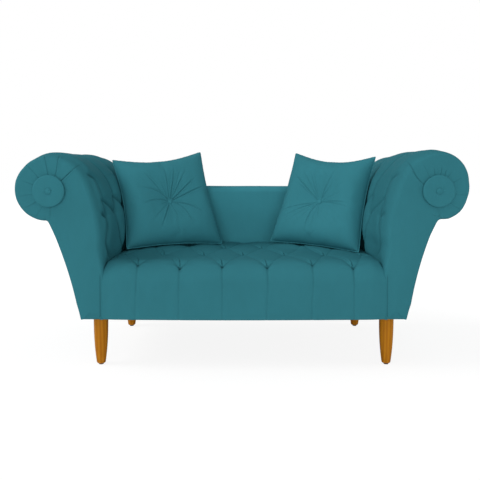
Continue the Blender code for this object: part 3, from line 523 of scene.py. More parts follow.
# tufting, shared by the seat and the arms
def tuftField(across, along, t):
    # Diamond lattice: a and b count the folds that lean left and right, and tufts stand where both are
    # whole. Between two rows both folds bend as part ** sweep. The cloth swells as
    # (|sin pi a| |sin pi b|) ** fullness and dips to each tuft as a bell with a sharp core. A thin lip with
    # a tuck beside it starts at each tuft and bows over to the left as part ** bow. Past the last rows the
    # folds run on as narrow channels.
    pitch, gap = t["pitch"], t["gap"]
    rimReach, rimWide = 0.016, 0.0028
    bowShade, tuftShade, wholeShade = 0.8, 0.9, 0.55
    last = (t["rows"] - 1) * gap
    inside = np.clip(along, 0, last)
    row = np.clip(np.floor(inside / gap), 0, t["rows"] - 2)
    part = np.clip(inside / gap - row, 0.001, 1)
    within = smooth((along + 0.004) / 0.020) * smooth((last - along + 0.004) / 0.020)
    turns = across / pitch
    lean = (row + part ** t["sweep"]) / 2
    slope = within * np.minimum(t["sweep"] * part ** (t["sweep"] - 1), 3) / (2 * gap)
    bowSlope = within * t["bow"] * part ** (t["bow"] - 1) / (2 * gap)

    def offLine(count, steep):  # distance from the nearest line on which count is whole
        return (count - np.round(count)) / np.hypot(1 / pitch, steep)

    a, b = turns + lean, turns - lean
    offFold = np.minimum(np.abs(offLine(a, slope)), np.abs(offLine(b, slope)))
    offBow = offLine(turns + (row + part ** t["bow"]) / 2, bowSlope)
    swell = (np.abs(np.sin(np.pi * a) * np.sin(np.pi * b)) + 1e-5) ** t["fullness"] * within
    swell = swell + (1 - np.exp(-offFold / t["channelWide"])) * (1 - within)
    nearRow = np.round(inside / gap)
    besides = turns - 0.5 * (nearRow % 2)
    offTuft = (besides - np.round(besides)) * pitch
    reach = np.hypot(offTuft, along - nearRow * gap)
    hold = (t["farHold"] + (1 - t["farHold"]) * np.exp(-reach / t["holdReach"])) * within
    hold = hold + t["channelHold"] * (1 - within)
    pull = t["depth"] * bell(reach, t["radius"]) + t["core"] * bell(reach, t["coreRadius"])
    near = bell(reach, t["lipReach"]) * smooth(reach / 0.010) * within
    lip = t["lip"] * near * bell(offBow + t["lipOff"], t["lipWide"])
    tuck = t["tuck"] * near * bell(offBow, t["tuckWide"])
    rim = t["rim"] * np.exp(-reach / rimReach) * bell(offFold, rimWide)
    rise = t["crown"] - (t["fold"] + t["crown"]) * (1 - swell) * hold + lip - tuck - rim - pull
    # painted shade: a mask that darkens the nap along the folds and channels, beside each bowed tuck and in
    # each tuft, returned with the rise
    creaseShade = bell(offFold, t["foldShadeWide"]) * (t["farFoldShade"] * within + t["channelFoldShade"] * (1 - within))
    creaseShade = np.maximum(creaseShade, bell(offBow, t["foldShadeWide"]) * near * bowShade)
    creaseShade = creaseShade + tuftShade * bell(reach, 0.006)
    creaseShade = np.maximum(creaseShade, np.exp(-reach / 0.020) * bell(offFold, 0.0026))
    return rise, wholeShade * np.clip(creaseShade, 0, 1)


seat = {
    "pitch": 0.154, "gap": 0.200, "rows": 4, "frontTurn": 35.0, "edge": 0.070, "bow": 1.6, "sweep": 0.62,
    "bowOut": 0.012, "fold": 0.004, "crown": 0.007, "fullness": 0.42, "depth": 0.006, "radius": 0.017,
    "core": 0.009, "coreRadius": 0.0060, "lip": 0.0032, "lipOff": 0.0034, "lipWide": 0.0021,
    "lipReach": 0.110, "tuck": 0.0022, "tuckWide": 0.0020, "rim": 0.0040, "farHold": 0.42,
    "holdReach": 0.050, "channelHold": 0.25, "channelWide": 0.0036, "foldShadeWide": 0.0018,
    # painted shade along the folds: its width above, and here its amount on top and down the channels
    "farFoldShade": 0.12, "channelFoldShade": 0.40, "hemRise": 0.55,
    "coarse": 0.0060, "step": 0.0022, "fineFrom": 0.29,  # the part in view has the finer rows
    "tufts": (-0.3800, -0.2283, -0.0755, 0.0812, 0.2427, 0.3894),  # the front row's places across
    "drops": (-0.010, 0.006, 0.002, 0.008, -0.010, 0.006),  # and how much lower each sits than the row
    "sideRound": 0.014, "frontRound": 0.004,  # how the sides curl in, on top and down the front
    "curlOut": 0.0125, "curlDrop": 0.007,
    "tailOut": (0.0043, 0.0013, 0.0), "tailTop": (0.028, 0.040, 0.055), "tailFront": (0.0085, 0.0115, 0.018),
    "turnUnder": ((0.0012, -0.0020), (0.004, -0.0030), (0.012, -0.0020)),  # the hem, under the front rail
    "railBack": 0.0333,
    "wander": (0.0035, 0.003), "slack": (0.0010, 0.0004),  # how far folds stray, and the cloth's slow waves
    "ahead": 0.070, "behind": 0.022,
    "pushedUp": {  # padding pushed up in front of each pillow: across, depth, height
        "left": ((-0.480, 0.262, 0.000), (-0.440, 0.288, 0.006), (-0.373, 0.328, 0.0105),
                 (-0.219, 0.419, 0.0105), (-0.100, 0.489, 0.003), (-0.060, 0.510, 0.000)),
        "right": ((0.090, 0.515, 0.000), (0.140, 0.480, 0.005), (0.2415, 0.407, 0.0125),
                  (0.390, 0.293, 0.0035), (0.456, 0.248, 0.000)),
    },
}
seatFlat = sofa["seatBack"] - seat["edge"]
seatBend = seat["edge"] * np.pi / 2


def seatProfile(run):
    # (f, z) and outward normal of the plain seat at a length forward from the back: flat, bend, fall
    turn = np.clip((run - seatFlat) / seat["edge"], 0, np.pi / 2)
    f = np.where(run < seatFlat, sofa["seatBack"] - run, seat["edge"] * (1 - np.sin(turn)))
    z = sofa["seatTop"] - seat["edge"] * (1 - np.cos(turn)) - np.maximum(0, run - seatFlat - seatBend)
    return f, z, -np.sin(turn), np.cos(turn), turn


def makeSeat():
    # rows run forward over the seat and down the front, columns across it; each side curls into the gap
    half = sofa["half"]
    frontRow = seatFlat + seat["edge"] * math.radians(seat["frontTurn"])
    full = seatFlat + seatBend + sofa["seatTop"] - seat["edge"] - sofa["base"]
    coarse = np.arange(0, seat["fineFrom"], seat["coarse"])
    run = np.concatenate([coarse, np.arange(seat["fineFrom"], full + 0.001, seat["step"])])[:, None]
    f, z, nf, nz, turn = seatProfile(run)
    fall = smooth(turn - 0.35)  # 0 on top, 1 down the front
    onTop = 1 - fall
    curl = np.linspace(0, np.pi / 2, 9)[1:]
    inset = seat["sideRound"] * onTop + seat["frontRound"] * fall
    middle = (half - inset) * np.linspace(-1, 1, int(2 * half / seat["step"]))
    sideX = half - inset + (inset + seat["curlOut"] * fall) * np.sin(curl)
    sideDrop = (seat["sideRound"] * onTop + seat["curlDrop"] * fall) * (1 - np.cos(curl))
    tailX = half - 0.0003 + fall * seat["tailOut"]
    tailDrop = onTop * seat["tailTop"] + fall * seat["tailFront"]
    x = bothSides(middle, np.concatenate([sideX, tailX], 1), -1)
    drop = bothSides(0 * middle, np.concatenate([sideDrop, tailDrop], 1))

    # the lattice, carried to the places of the tufts, with the last row's own heights
    marks = (-half, *seat["tufts"], half)
    even = (np.arange(6) - 2.5) * seat["pitch"]
    across = np.interp(x, marks, (-half, *even, half)) - seat["pitch"] / 2
    across = across + seat["wander"][0] * ripple(x * 12, run * 14, 1)
    along = frontRow - run + seat["wander"][1] * ripple(x * 8, run * 8, 2)
    along = along + np.interp(x, marks, (0, *seat["drops"], 0)) * (1 - smooth(along / seat["gap"]))
    rise, creaseShade = tuftField(across, along, seat)
    inwards = half - np.abs(x)
    down = np.clip((run - frontRow) / (full - frontRow), 0, 1)
    fade = (1 - (1 - seat["hemRise"]) * smooth(down * 1.15)) * smooth(inwards / 0.045)
    slack = seat["slack"][0] * ripple(x * 22, run * 26, 3) + seat["slack"][1] * ripple(x * 60, run * 45, 7)
    rise = rise * fade + slack * smooth(inwards / 0.05) - drop
    for places in seat["pushedUp"].values():
        rise = rise + ridgeBy(x, f, places, seat["ahead"], seat["behind"])
    bowOut = seat["bowOut"] * (1 - np.clip(x / half, -1, 1) ** 2) * (1 - f / sofa["seatBack"])
    grid = placed(x, f + nf * rise - bowOut, z + nz * rise)
    hem = np.array([(0, back, lower) for back, lower in seat["turnUnder"]])[:, None]
    grid = np.concatenate([grid, grid[-1] + hem])
    lineF = np.array((seat["railBack"], seat["railBack"], sofa["seatBack"]))
    lineZ = np.array((sofa["base"], sofa["deck"], sofa["deck"]))
    points, faces = closedBehind(grid, [placed(sign * half, lineF, lineZ) for _, sign in sides])
    # painted shade in the folds and tufts, kept per point as the fold attribute
    fold = np.zeros(len(points))
    fold[:creaseShade.size] = (creaseShade * fade).ravel()
    made = makePiece("seat_cover", points, faces, tealSuede, fold=fold)
    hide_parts("seat_pad")


makeSeat()
print("seat made")


# arms
armTuft = {
    "pitch": 0.170, "gap": 0.0772, "rows": 2, "first": 0.0220, "lowRun": 0.3509, "bow": 1.5, "sweep": 1.0,
    "fold": 0.010, "crown": 0.008, "fullness": 0.50, "depth": 0.0055, "radius": 0.018,
    "core": 0.0045, "coreRadius": 0.0065, "lip": 0.0018, "lipOff": -0.0040, "lipWide": 0.0028,
    "lipReach": 0.060, "tuck": 0.0030, "tuckWide": 0.0024, "rim": 0.0030, "farHold": 0.95,
    "holdReach": 0.05, "channelHold": 1.0, "channelWide": 0.0150, "foldShadeWide": 0.0090,
    # painted shade along the folds: its width above, and here its amount between the rows and down the
    # channels
    "farFoldShade": 0.75, "channelFoldShade": 1.0,
    "wander": 0.002, "slack": 0.0010, "forward": 0.16,  # how far the upper folds lean to the front
    "sharpness": {"left": 1.0, "right": 0.40},  # the right arm's folds are pulled less tight
}
armFolds = {  # depths of the folds at lengths up the section; at the last one they are evenly spaced
    0.18: (0.140, 0.285, 0.410, 0.545),
    0.27: (0.066, 0.246, 0.385, 0.540),
    0.345: (0.112, 0.232, 0.375, 0.535),
    0.42: (0.022, 0.192, 0.362, 0.532),
}


def evenDepth(f, run):
    # depth on the even lattice of a point of the arm, by the fold places at the heights above and below it
    heights = list(armFolds)
    total = 0
    for height, places in armFolds.items():
        mapped = np.interp(f, (-0.08, *places, 0.75), (-0.08, *armFolds[heights[-1]], 0.75))
        weight = np.interp(run, heights, [float(h == height) for h in heights])
        total = total + mapped * smooth(weight)
    return total


pleats = {  # angle round the medallion from the inner side, strength, lean in degrees, length
    "left": [(40.5, 1.0, 2, 0.090), (68, 0.75, 7, 0.090), (93, 0.70, 5, 0.090), (128, 0.45, 3, 0.060),
             (158, 0.3, 3, 0.050), (191, 0.3, -2, 0.050), (220, 0.35, -8, 0.050), (245, 0.3, -4, 0.050),
             (274, 0.5, -6, 0.060)],
    "right": [(25, 1.0, 17, 0.090), (58, 0.25, 4, 0.050), (77, 0.45, 7, 0.030), (97, 0.45, 5, 0.030),
              (111, 0.45, 0, 0.028), (124, 0.40, -2, 0.026), (150, 0.25, 0, 0.040), (190, 0.25, -2, 0.050),
              (225, 0.3, -8, 0.050), (270, 0.45, -6, 0.060)],
    "groove": 0.0026, "lip": 0.0015, "wide": 0.0015, "step": 0.35, "shade": 0.6, "ends": 0.012,
}
fuller = {  # how far the padding stands out of the plain section, at shares of the way from shoulder to foot
    "places": (0.0, 0.10, 0.18, 0.25, 0.31, 0.37, 0.44, 0.50, 0.55, 0.60, 0.66, 0.75, 0.94, 1.0),
    "left": (0.003, 0.000, -0.003, -0.006, -0.003, 0.006, 0.012,
             0.013, 0.011, 0.006, 0.006, 0.008, 0.010, 0.006),
    "right": (0.006, 0.010, 0.011, 0.007, 0.002, -0.004, -0.002,
              0.006, 0.007, -0.001, -0.002, 0.002, 0.011, 0.006),
}


def fullness(run, f, sideName):  # from the curved part of the inside round to the foot, less to the rear
    share = (run - sectionMark["shoulder"]) / (sectionMark["foot"] - sectionMark["shoulder"])
    out = np.interp(share, fuller["places"], fuller[sideName])
    out = out * smooth((run - sectionMark["inner"]) / 0.05) * (run < sectionMark["foot"] + 0.001)
    return out * smooth((0.60 - f) / 0.25)


pushedOut = {  # padding of the arm that each pillow squeezes out beside it: height, depth, rise
    "left": ((0.365, 0.250, 0.006), (0.390, 0.255, 0.015), (0.430, 0.272, 0.018), (0.565, 0.325, 0.015),
             (0.665, 0.366, 0.012), (0.710, 0.385, 0.0)),
    "right": ((0.365, 0.230, 0.007), (0.390, 0.236, 0.020), (0.430, 0.253, 0.023), (0.565, 0.305, 0.014),
              (0.665, 0.342, 0.011), (0.710, 0.360, 0.0)),
    "ahead": 0.085, "behind": 0.042,
}
armCut = {"spineLow": 0.2126, "spineTop": 0.527, "slideTop": 0.66, "rowStep": 0.0024,
          "softX": 0.028, "softF": 0.070, "softLow": 0.33, "softEnd": 0.78, "hardX": 0.0095, "hardF": 0.011,
          # across: where the painted shade line runs on the facing along the seat's edge
          "stemCrown": 0.0045, "scrollCrown": 0.0010, "seatShadeX": 0.5078, "hang": 0.0045}
medal = {"x": 0.68443, "z": 0.6345, "radius": 0.057, "thick": 0.015, "rimRound": 0.0055, "dish": 0.0012,
         "dimple": 0.0022, "gather": 0.0004, "joint": 0.0003, "sunk": 0.0018,
         "buttonRadius": 0.0115, "buttonHead": 0.006}


def spineZ(k):
    return armCut["spineLow"] + (armCut["spineTop"] - armCut["spineLow"]) * np.minimum(k, 1)


def spinePoint(k):
    # k from 0 to 1 climbs midway between the inside and the waist, and from 1 to 2 goes on to the medallion
    z = spineZ(k)
    x = (innerX(z) + waistX(z)) / 2
    share = np.clip(k - 1, 0, 1)
    return stacked(x + (medal["x"] - x) * share, z + (medal["z"] - z) * share)


def frontRows(scrollStep):
    # lengths along the section and matching spine values, once round; both sides of the stem share them
    k = np.concatenate([np.linspace(0, 1, 90), np.linspace(1, 2, 30)[1:]])
    slide = np.clip(k - 1, 0, 1)
    inside = innerRun(spineZ(k)) + slide * (innerRun(armCut["slideTop"]) - innerRun(armCut["spineTop"]))
    outsideEnd = sectionMark["neck"] - 0.035
    outside = waistRun(spineZ(k)) + slide * (outsideEnd - waistRun(armCut["spineTop"]))
    scroll = np.arange(inside[-1] + scrollStep, outsideEnd - scrollStep / 2, scrollStep)
    low = np.linspace(0, inside[0], 7)[:-1]
    tail = np.linspace(outside[0], sectionMark["foot"], 7)[1:]
    under = np.linspace(sectionMark["foot"], sectionRun[-1], 16)[1:-1]
    s = np.concatenate([low, inside, scroll, outside[::-1], tail, under])
    spine = np.concatenate([0 * low, k, 2 + 0 * scroll, k[::-1], 0 * tail, 0 * under])
    return s, spine


def pleatRise(x, z, sideName):
    # each pleat is a radial groove with a rolled lip on one side, by the distance across it, with painted
    # shade down the groove
    dx, dz = medal["x"] - x, z - medal["z"]
    radius = np.hypot(dx, dz)
    angle = np.degrees(np.arctan2(dz, dx)) % 360
    wide = pleats["wide"]
    rise, creaseShade = np.zeros_like(x), np.zeros_like(x)
    for centre, strength, lean, length in pleats[sideName]:
        strength = strength * smooth((length - (radius - medal["radius"])) / pleats["ends"])
        bent = centre + lean * np.clip((radius - medal["radius"]) / 0.07, -1, 1.3)
        off = np.radians((angle - bent + 180) % 360 - 180) * radius
        groove = bell(off, wide)
        roll = bell(off + 2.6 * wide, 2.2 * wide)
        step = np.where(off < 0, np.exp(off / 0.010), 0) * pleats["step"]
        rise += strength * (pleats["lip"] * (roll + step) - pleats["groove"] * groove)
        # painted shade down the pleat's groove, for the nap's colour
        creaseShade = np.maximum(creaseShade, pleats["shade"] * strength * groove)
    return rise, creaseShade


def makeArm(sideName, side):
    # Rows run once round the section. Columns go from behind the facing out to the rear of the pad, forward
    # along it, round the soft front edge and in over the face to the spine.
    s, k = frontRows(armCut["rowStep"])
    padFirst = int(np.argmin(np.abs(s - (sofa["deck"] - sofa["base"]))))
    padLast = int(np.argmin(np.abs(s - sectionMark["neck"])))
    order = np.r_[0:padFirst + 1, padFirst:padLast + 1, padLast:len(s)]
    isPad = np.zeros(len(order), bool)
    isPad[padFirst + 1:padLast + 2] = True
    s, k = s[order], k[order]
    p, n = sectionAt(s)
    spine = spinePoint(k)
    run = s[:, None]
    each = np.ones_like(run)
    soft = smooth((run - innerRun(armCut["softLow"])) / 0.12) * smooth((armCut["softEnd"] - run) / 0.22)
    softX = armCut["hardX"] + (armCut["softX"] - armCut["hardX"]) * soft
    softF = armCut["hardF"] + (armCut["softF"] - armCut["hardF"]) * soft

    # depth f and inset of each column, for pad rows and for rows that carry the facing only
    front, rear, rearRound = arm["facingBack"], arm["rearEnd"], arm["rearRound"]
    rearTurn = np.linspace(np.pi / 2, 0, 6)
    leadF = np.array([front, rear, *(rear - rearRound * (1 - np.sin(rearTurn)))])
    leadIn = np.array([arm["padThick"], arm["padThick"], *(rearRound * (1 - np.cos(rearTurn)))])
    lead = len(leadF)
    depthShare = np.concatenate([np.linspace(0, 0.36, 45), np.linspace(0.36, 1, 165)[1:]])[1:]
    padF = rear - rearRound + (softF - (rear - rearRound)) * depthShare
    f = np.concatenate([each * leadF, padF], 1)
    inset = np.concatenate([each * leadIn, 0 * padF], 1)
    only = ~isPad
    f[only] = front + (softF[only] - front) * np.clip((np.arange(f.shape[1]) - lead) / 20.0, 0, 1)
    f[only] = np.maximum(f[only], np.minimum(softF[only], front))
    inset[only] = 0
    inset[only, 0] = 0.0015
    theta = np.linspace(0, np.pi / 2, 14)[1:]
    x, z = moved(p, n, -np.concatenate([inset, softX * (1 - np.cos(theta))], 1))
    share = np.linspace(0, 1, 19)[1:]
    edge = p - n * softX
    faceX, faceZ = moved(edge, spine - edge, share)
    stem = smooth((2.0 - k) / 0.7)[:, None]
    crown = armCut["stemCrown"] * stem + armCut["scrollCrown"] * (1 - stem)
    crown = crown * np.sin(np.pi / 2 * np.clip(share * (2 - stem), 0, 2))
    turn = np.concatenate([np.zeros(1 + f.shape[1]), theta, np.full(len(share), np.pi / 2)])
    x = np.concatenate([spine[:, :1], x, faceX], 1)
    z = np.concatenate([spine[:, 1:], z, faceZ], 1)
    f = np.concatenate([front * each, f, softF * (1 - np.sin(theta)), -np.abs(crown)], 1)
    outer = 1.0 * (np.arange(len(turn)) > lead - len(rearTurn))
    carried = outer * fullness(run, f, sideName)
    carried[:, -len(share):] *= (1 - share) ** 1.5
    x = x + n[:, :1] * carried
    z = z + n[:, 1:] * carried

    # tufting on the padded side; its upper folds lean forward into the first pleat
    lean = armTuft["forward"] * smooth((run - 0.47) / 0.09) * np.exp(-np.maximum(f, 0) / 0.15)
    wander = armTuft["wander"]
    across = evenDepth(f, run) + lean - armTuft["first"] + wander * ripple(f * 9, run * 9, 4 + side)
    along = run - armTuft["lowRun"] + wander * ripple(f * 8, run * 8, 5 + side)
    rise, creaseShade = tuftField(across, along, armTuft)
    onPad = outer * isPad[:, None]
    fade = onPad * smooth((f - 0.030) / 0.032) * smooth((0.585 - f) / 0.045)
    fade = fade * smooth((run - innerRun(sofa["seatTop"] - 0.012)) / 0.05)
    fade = fade * smooth((sectionMark["neck"] - 0.02 - run) / 0.12)
    slack = armTuft["slack"] * ripple(f * 24, run * 24, 6 + side)
    slack = slack * smooth((f - 0.01) / 0.04) * smooth((0.66 - f) / 0.03)
    squeezed = ridgeBy(p[:, 1:] + 0 * f, f, pushedOut[sideName], pushedOut["ahead"], pushedOut["behind"])
    rise = rise * armTuft["sharpness"][sideName] * fade + slack * onPad
    rise = rise + squeezed * onPad * (run < sectionMark["scroll"])
    creaseShade = creaseShade * armTuft["sharpness"][sideName] * fade
    # painted shade: a thin dark line on the facing along the seat's edge, where the seat's contact shadow
    # falls
    seatEdgeShade = 0.8 * bell(x - armCut["seatShadeX"], 0.0015) * smooth((0.345 - z) / 0.02) * (f < 0.02)
    pleatUp, pleatShade = pleatRise(x, z, sideName)
    onScroll = smooth((run - 0.50) / 0.04) * smooth((sectionMark["neck"] + 0.02 - run) / 0.03)
    reach = np.exp(-np.maximum(f - 0.012, 0) / 0.035) * outer * onScroll
    rise = rise + pleatUp * reach
    # painted shade from the tufting, the seat's edge and the pleats, kept as the fold attribute
    creaseShade = np.maximum(np.maximum(creaseShade, seatEdgeShade), pleatShade * reach)
    x = x + n[:, :1] * np.cos(turn) * rise
    z = z + n[:, 1:] * np.cos(turn) * rise
    f = f - np.sin(turn) * rise
    hang = armCut["hang"] * smooth((0.036 - f) / 0.024) * smooth((sofa["base"] + 0.03 - z) / 0.03)
    points, faces = placed(side * x, f, z - hang), gridFaces(*x.shape, closeRows=True)
    made = makePiece(f"{sideName}_arm_cover", points, faces, tealSuede, fold=creaseShade, merge=2e-6)
    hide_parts(f"{sideName}_arm_pad", f"{sideName}_front_facing")


for sideName, side in sides:
    makeArm(sideName, side)
print("arms made")


# medallions on the scrolls, and covered buttons
def studProfile(radius, head, waist, base, sunk=0.0):
    # a quarter of a flattened dome, drawn in to its waist behind
    dome = [(radius * math.sin(a), head * math.cos(a) ** 0.8 - sunk) for a in np.linspace(0, 1.45, 12)]
    return dome + [(radius * waist, base), (0.0, base)]


def makeMedallions():
    # a padded disc with a rolled rim, dished a little where the button is nailed
    r, t, q = medal["radius"], medal["thick"], medal["rimRound"]
    face = [(u * (r - q), t - medal["dish"] * u ** 3 - medal["dimple"] * math.exp(-((u / 0.22) ** 2)))
            for u in np.linspace(0, 1, 26)[:-1]]
    rim = [(r - q + q * math.cos(a), t - q - medal["dish"] + q * math.sin(a))
           for a in np.linspace(1.45, -0.5, 12)]
    back = [(r - 0.0030, 0.0010), (r - 0.0050, 0.0), (0.0, 0.0)]
    stud = studProfile(medal["buttonRadius"], medal["buttonHead"], 0.96, -0.0006)

    def pucker(angle, radius):  # small gathers that fade away from the button
        return medal["gather"] * np.cos(14 * angle) * bell(radius - 0.014, 0.008)

    for name, side in sides:
        place = facingFront(side * medal["x"], -medal["joint"], medal["z"])
        disc = turnedPiece(f"{name}_medallion_cover", face + rim + back, 120, place, tealSuede, bump=pucker)
        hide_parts(f"{name}_medallion")
        place = facingFront(side * medal["x"], -medal["joint"] - t + medal["sunk"], medal["z"])
        button = turnedPiece(f"{name}_medallion_stud", stud, 48, place, tealSuede)
        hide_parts(f"{name}_medallion_button")


makeMedallions()
print("medallions made")


# plain panels: outside of the arms, rear of the arms, back
panel = {"front": 0.0185, "rear": 0.6855, "thick": 0.004, "ease": 0.0025, "rowStep": 0.005,
         "swell": 0.0012, "slack": 0.0006, "sunk": 0.0006, "rearSlack": 0.0004}
back = {"front": 0.600, "padRear": 0.6522, "edge": 0.028, "topPad": 0.034, "crown": 0.004,
        "sideRound": 0.012, "slack": 0.0011, "sag": 0.0012, "seam": 0.0006,
        "skinSwell": 0.0016, "skinSlack": 0.0006, "skinSunk": 0.0008, "skinGap": 0.0003}


def makeOuterPanel(name, side):
    # a thin padded panel from the neck down to the foot, a little proud in its middle
    s = np.linspace(sectionMark["neck"] + 0.001, sectionMark["foot"], 150)[:, None]
    p, n = sectionAt(s[:, 0])
    u = (s - s[0]) / (s[-1] - s[0])
    v = np.linspace(0, 1, 170)
    f = panel["front"] + (panel["rear"] - panel["front"]) * v
    edgeFade = smooth(u / 0.05) * smooth((1 - u) / 0.03) * smooth(v / 0.02) * smooth((1 - v) / 0.02)
    swell = edgeFade * (panel["swell"] + panel["slack"] * ripple(v * 9, u * 7, 11 + side))
    swell = swell - panel["sunk"] + fullness(s, f, name)
    x, z = moved(p, n, swell)
    inX, inZ = moved(p, n, -panel["thick"])
    made = slabPiece(f"{name}_outer_cover", placed(side * x, f, z), placed(side * inX, f, inZ), tealSuede)
    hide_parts(f"{name}_outer_panel")


def makeRearFacing(name, side):
    # the arm's outline as a thin flat panel with an eased edge, closed over the same spine as the front
    s, k = frontRows(panel["rowStep"])
    p, n = sectionAt(s)
    spine = spinePoint(k)
    theta = np.linspace(0, np.pi / 2, 6)
    x, z = moved(p, n, -panel["ease"] * (1 - np.cos(theta)))
    edge = stacked(x[:, -1], z[:, -1])
    share = np.linspace(0, 1, 14)[1:]
    faceX, faceZ = moved(edge, spine - edge, share)
    slack = panel["rearSlack"] * ripple(faceX * 25, faceZ * 25, 15 + side)
    swell = panel["swell"] * np.sin(np.pi / 2 * share) + slack
    x = np.concatenate([spine[:, :1], p[:, :1], x, faceX], 1)
    z = np.concatenate([spine[:, 1:], p[:, 1:], z, faceZ], 1)
    lead = [sofa["rearPanel"], sofa["rearPanel"], *(sofa["depth"] - panel["ease"] * (1 - np.sin(theta)))]
    f = np.concatenate([np.ones((len(s), 1)) * lead, sofa["depth"] + swell * smooth(share / 0.2)], 1)
    faces = gridFaces(*x.shape, closeRows=True)
    made = makePiece(f"{name}_rear_cover", placed(side * x, f, z), faces, tealSuede)
    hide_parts(f"{name}_rear_facing")


def makeBack():
    # The section goes up the front, over the rounded top and down behind, and is carried across between the
    # arms. Its half width follows the padded side of the arm at each height.
    r, top, front, rear = back["edge"], sofa["backTop"], back["front"], sofa["depth"]
    t = np.linspace(0, np.pi / 2, 16)[1:]
    path = np.concatenate([
        stacked(front, np.linspace(sofa["deck"], top - r, 100)),
        stacked(front + r - r * np.cos(t), top - r + r * np.sin(t)),
        stacked(np.linspace(front + r, rear - r, 8)[1:], top),
        stacked(rear - r + r * np.sin(t), top - r + r * np.cos(t)),
        stacked(rear, np.linspace(top - r, top - back["topPad"], 5)[1:]),
    ])
    slope = unit(np.gradient(path, axis=0))
    nf, nz = -slope[:, 1:], slope[:, :1]
    f, z = path[:, :1], path[:, 1:]
    half = innerX(z) - sofa["gap"]
    turn = np.linspace(0, np.pi / 2, 8)[1:]
    plain = half - back["sideRound"]
    middle = plain * np.linspace(-1, 1, 260)
    x = bothSides(middle, plain + back["sideRound"] * np.sin(turn), -1)
    drop = bothSides(0 * middle, back["sideRound"] * (1 - np.cos(turn)) + 0 * half)
    inner = np.clip(1 - (x / half) ** 2, 0, 1)
    onFront = smooth((z - 0.36) / 0.05) * smooth((top - 0.01 - z) / 0.12) * (f < front + r)
    crown = back["crown"] * inner ** 0.5 * onFront
    slack = back["slack"] * ripple(x * 14, z * 18 + f * 18, 21) * np.clip(1 - (x / half) ** 4, 0, 1)
    sag = back["sag"] * inner * smooth((z - 0.58) / 0.05)
    rise = crown + slack - drop * smooth((z - 0.40) / 0.02)
    lineZ = np.array((top - back["topPad"], sofa["deck"]))
    ends = [placed(sign * (innerX(lineZ) - sofa["gap"]), back["padRear"], lineZ) for _, sign in sides]
    points, faces = closedBehind(placed(x, f + nf * rise, z + nz * rise - sag), ends)
    made = makePiece("back_cover", points, faces, backLightenedSuede)
    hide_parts("back_pad")


def makeBackSkin():
    # the stretched panel behind, from under the top roll to the hem, between the rear facings
    z = np.linspace(sofa["base"], sofa["backTop"] - back["topPad"] - back["seam"], 120)[:, None]
    u = np.linspace(-1, 1, 260)
    x = (innerX(z) - sofa["gap"]) * u
    edgeFade = smooth((1 - np.abs(u)) / 0.02) * smooth((z - z[0]) / 0.012) * smooth((z[-1] - z) / 0.012)
    swell = (back["skinSwell"] + back["skinSlack"] * ripple(u * 8, z * 16, 25)) * edgeFade - back["skinSunk"]
    outside = placed(x, sofa["depth"] + swell, z)
    inside = placed(x, sofa["rearPanel"] + back["skinGap"], z)
    made = slabPiece("back_skin_cover", outside, inside, tealSuede)
    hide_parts("back_skin")


for sideName, side in sides:
    makeOuterPanel(sideName, side)
    makeRearFacing(sideName, side)
makeBack()
makeBackSkin()
print("panels made")


# pillows
pillow = {
    "side": 0.425, "half": 0.072, "startHalf": 0.052, "steps": 84, "fine": 220, "gather": 0.45, "lean": 25.0,
    "turns": {"left": 31.0, "right": 36.0}, "dimple": 0.036, "dimpleRadius": 0.060, "buttonRadius": 0.011,
    "buttonHead": 0.0062, "pressure": 4.0, "stiffness": 25, "bending": 0.8, "frames": 20, "cap": 0.026,
    "share": (0.15, 0.60, 0.15),  # of the simulated movement; the sewn sides stay as drawn
    "lip": 0.0050, "lipThick": 0.0013, "frontHalf": 0.056, "rearHalf": 0.068,
    "pull": {"left": 0.85, "right": 0.65},  # how tight the creases are drawn
    "groove": 0.0032, "ridge": 0.0012, "narrow": 0.0013, "widens": 0.0022, "shade": 0.4, "slack": 0.0010,
}
slump = {  # how each pillow has settled: sides drawn in, the button's place, and corners moved (across, up)
    "left": {"top": 0.119, "bottom": 0.055, "left": 0.075, "right": 0.045, "skew": -0.03,
             "hub": (0.000, -0.012), "firm": (6, 5, 6, 4),
             "corners": ((0.002, -0.022), (-0.003, 0.021), (0.002, 0.016), (0.006, 0.010))},
    "right": {"top": 0.150, "bottom": 0.035, "left": 0.070, "right": 0.055, "skew": -0.03,
              "hub": (0.008, -0.014), "firm": (5, 5, 6, 4),
              "corners": ((0.030, 0.014), (-0.006, -0.008), (0.012, 0.021), (0.003, 0.004))},
}
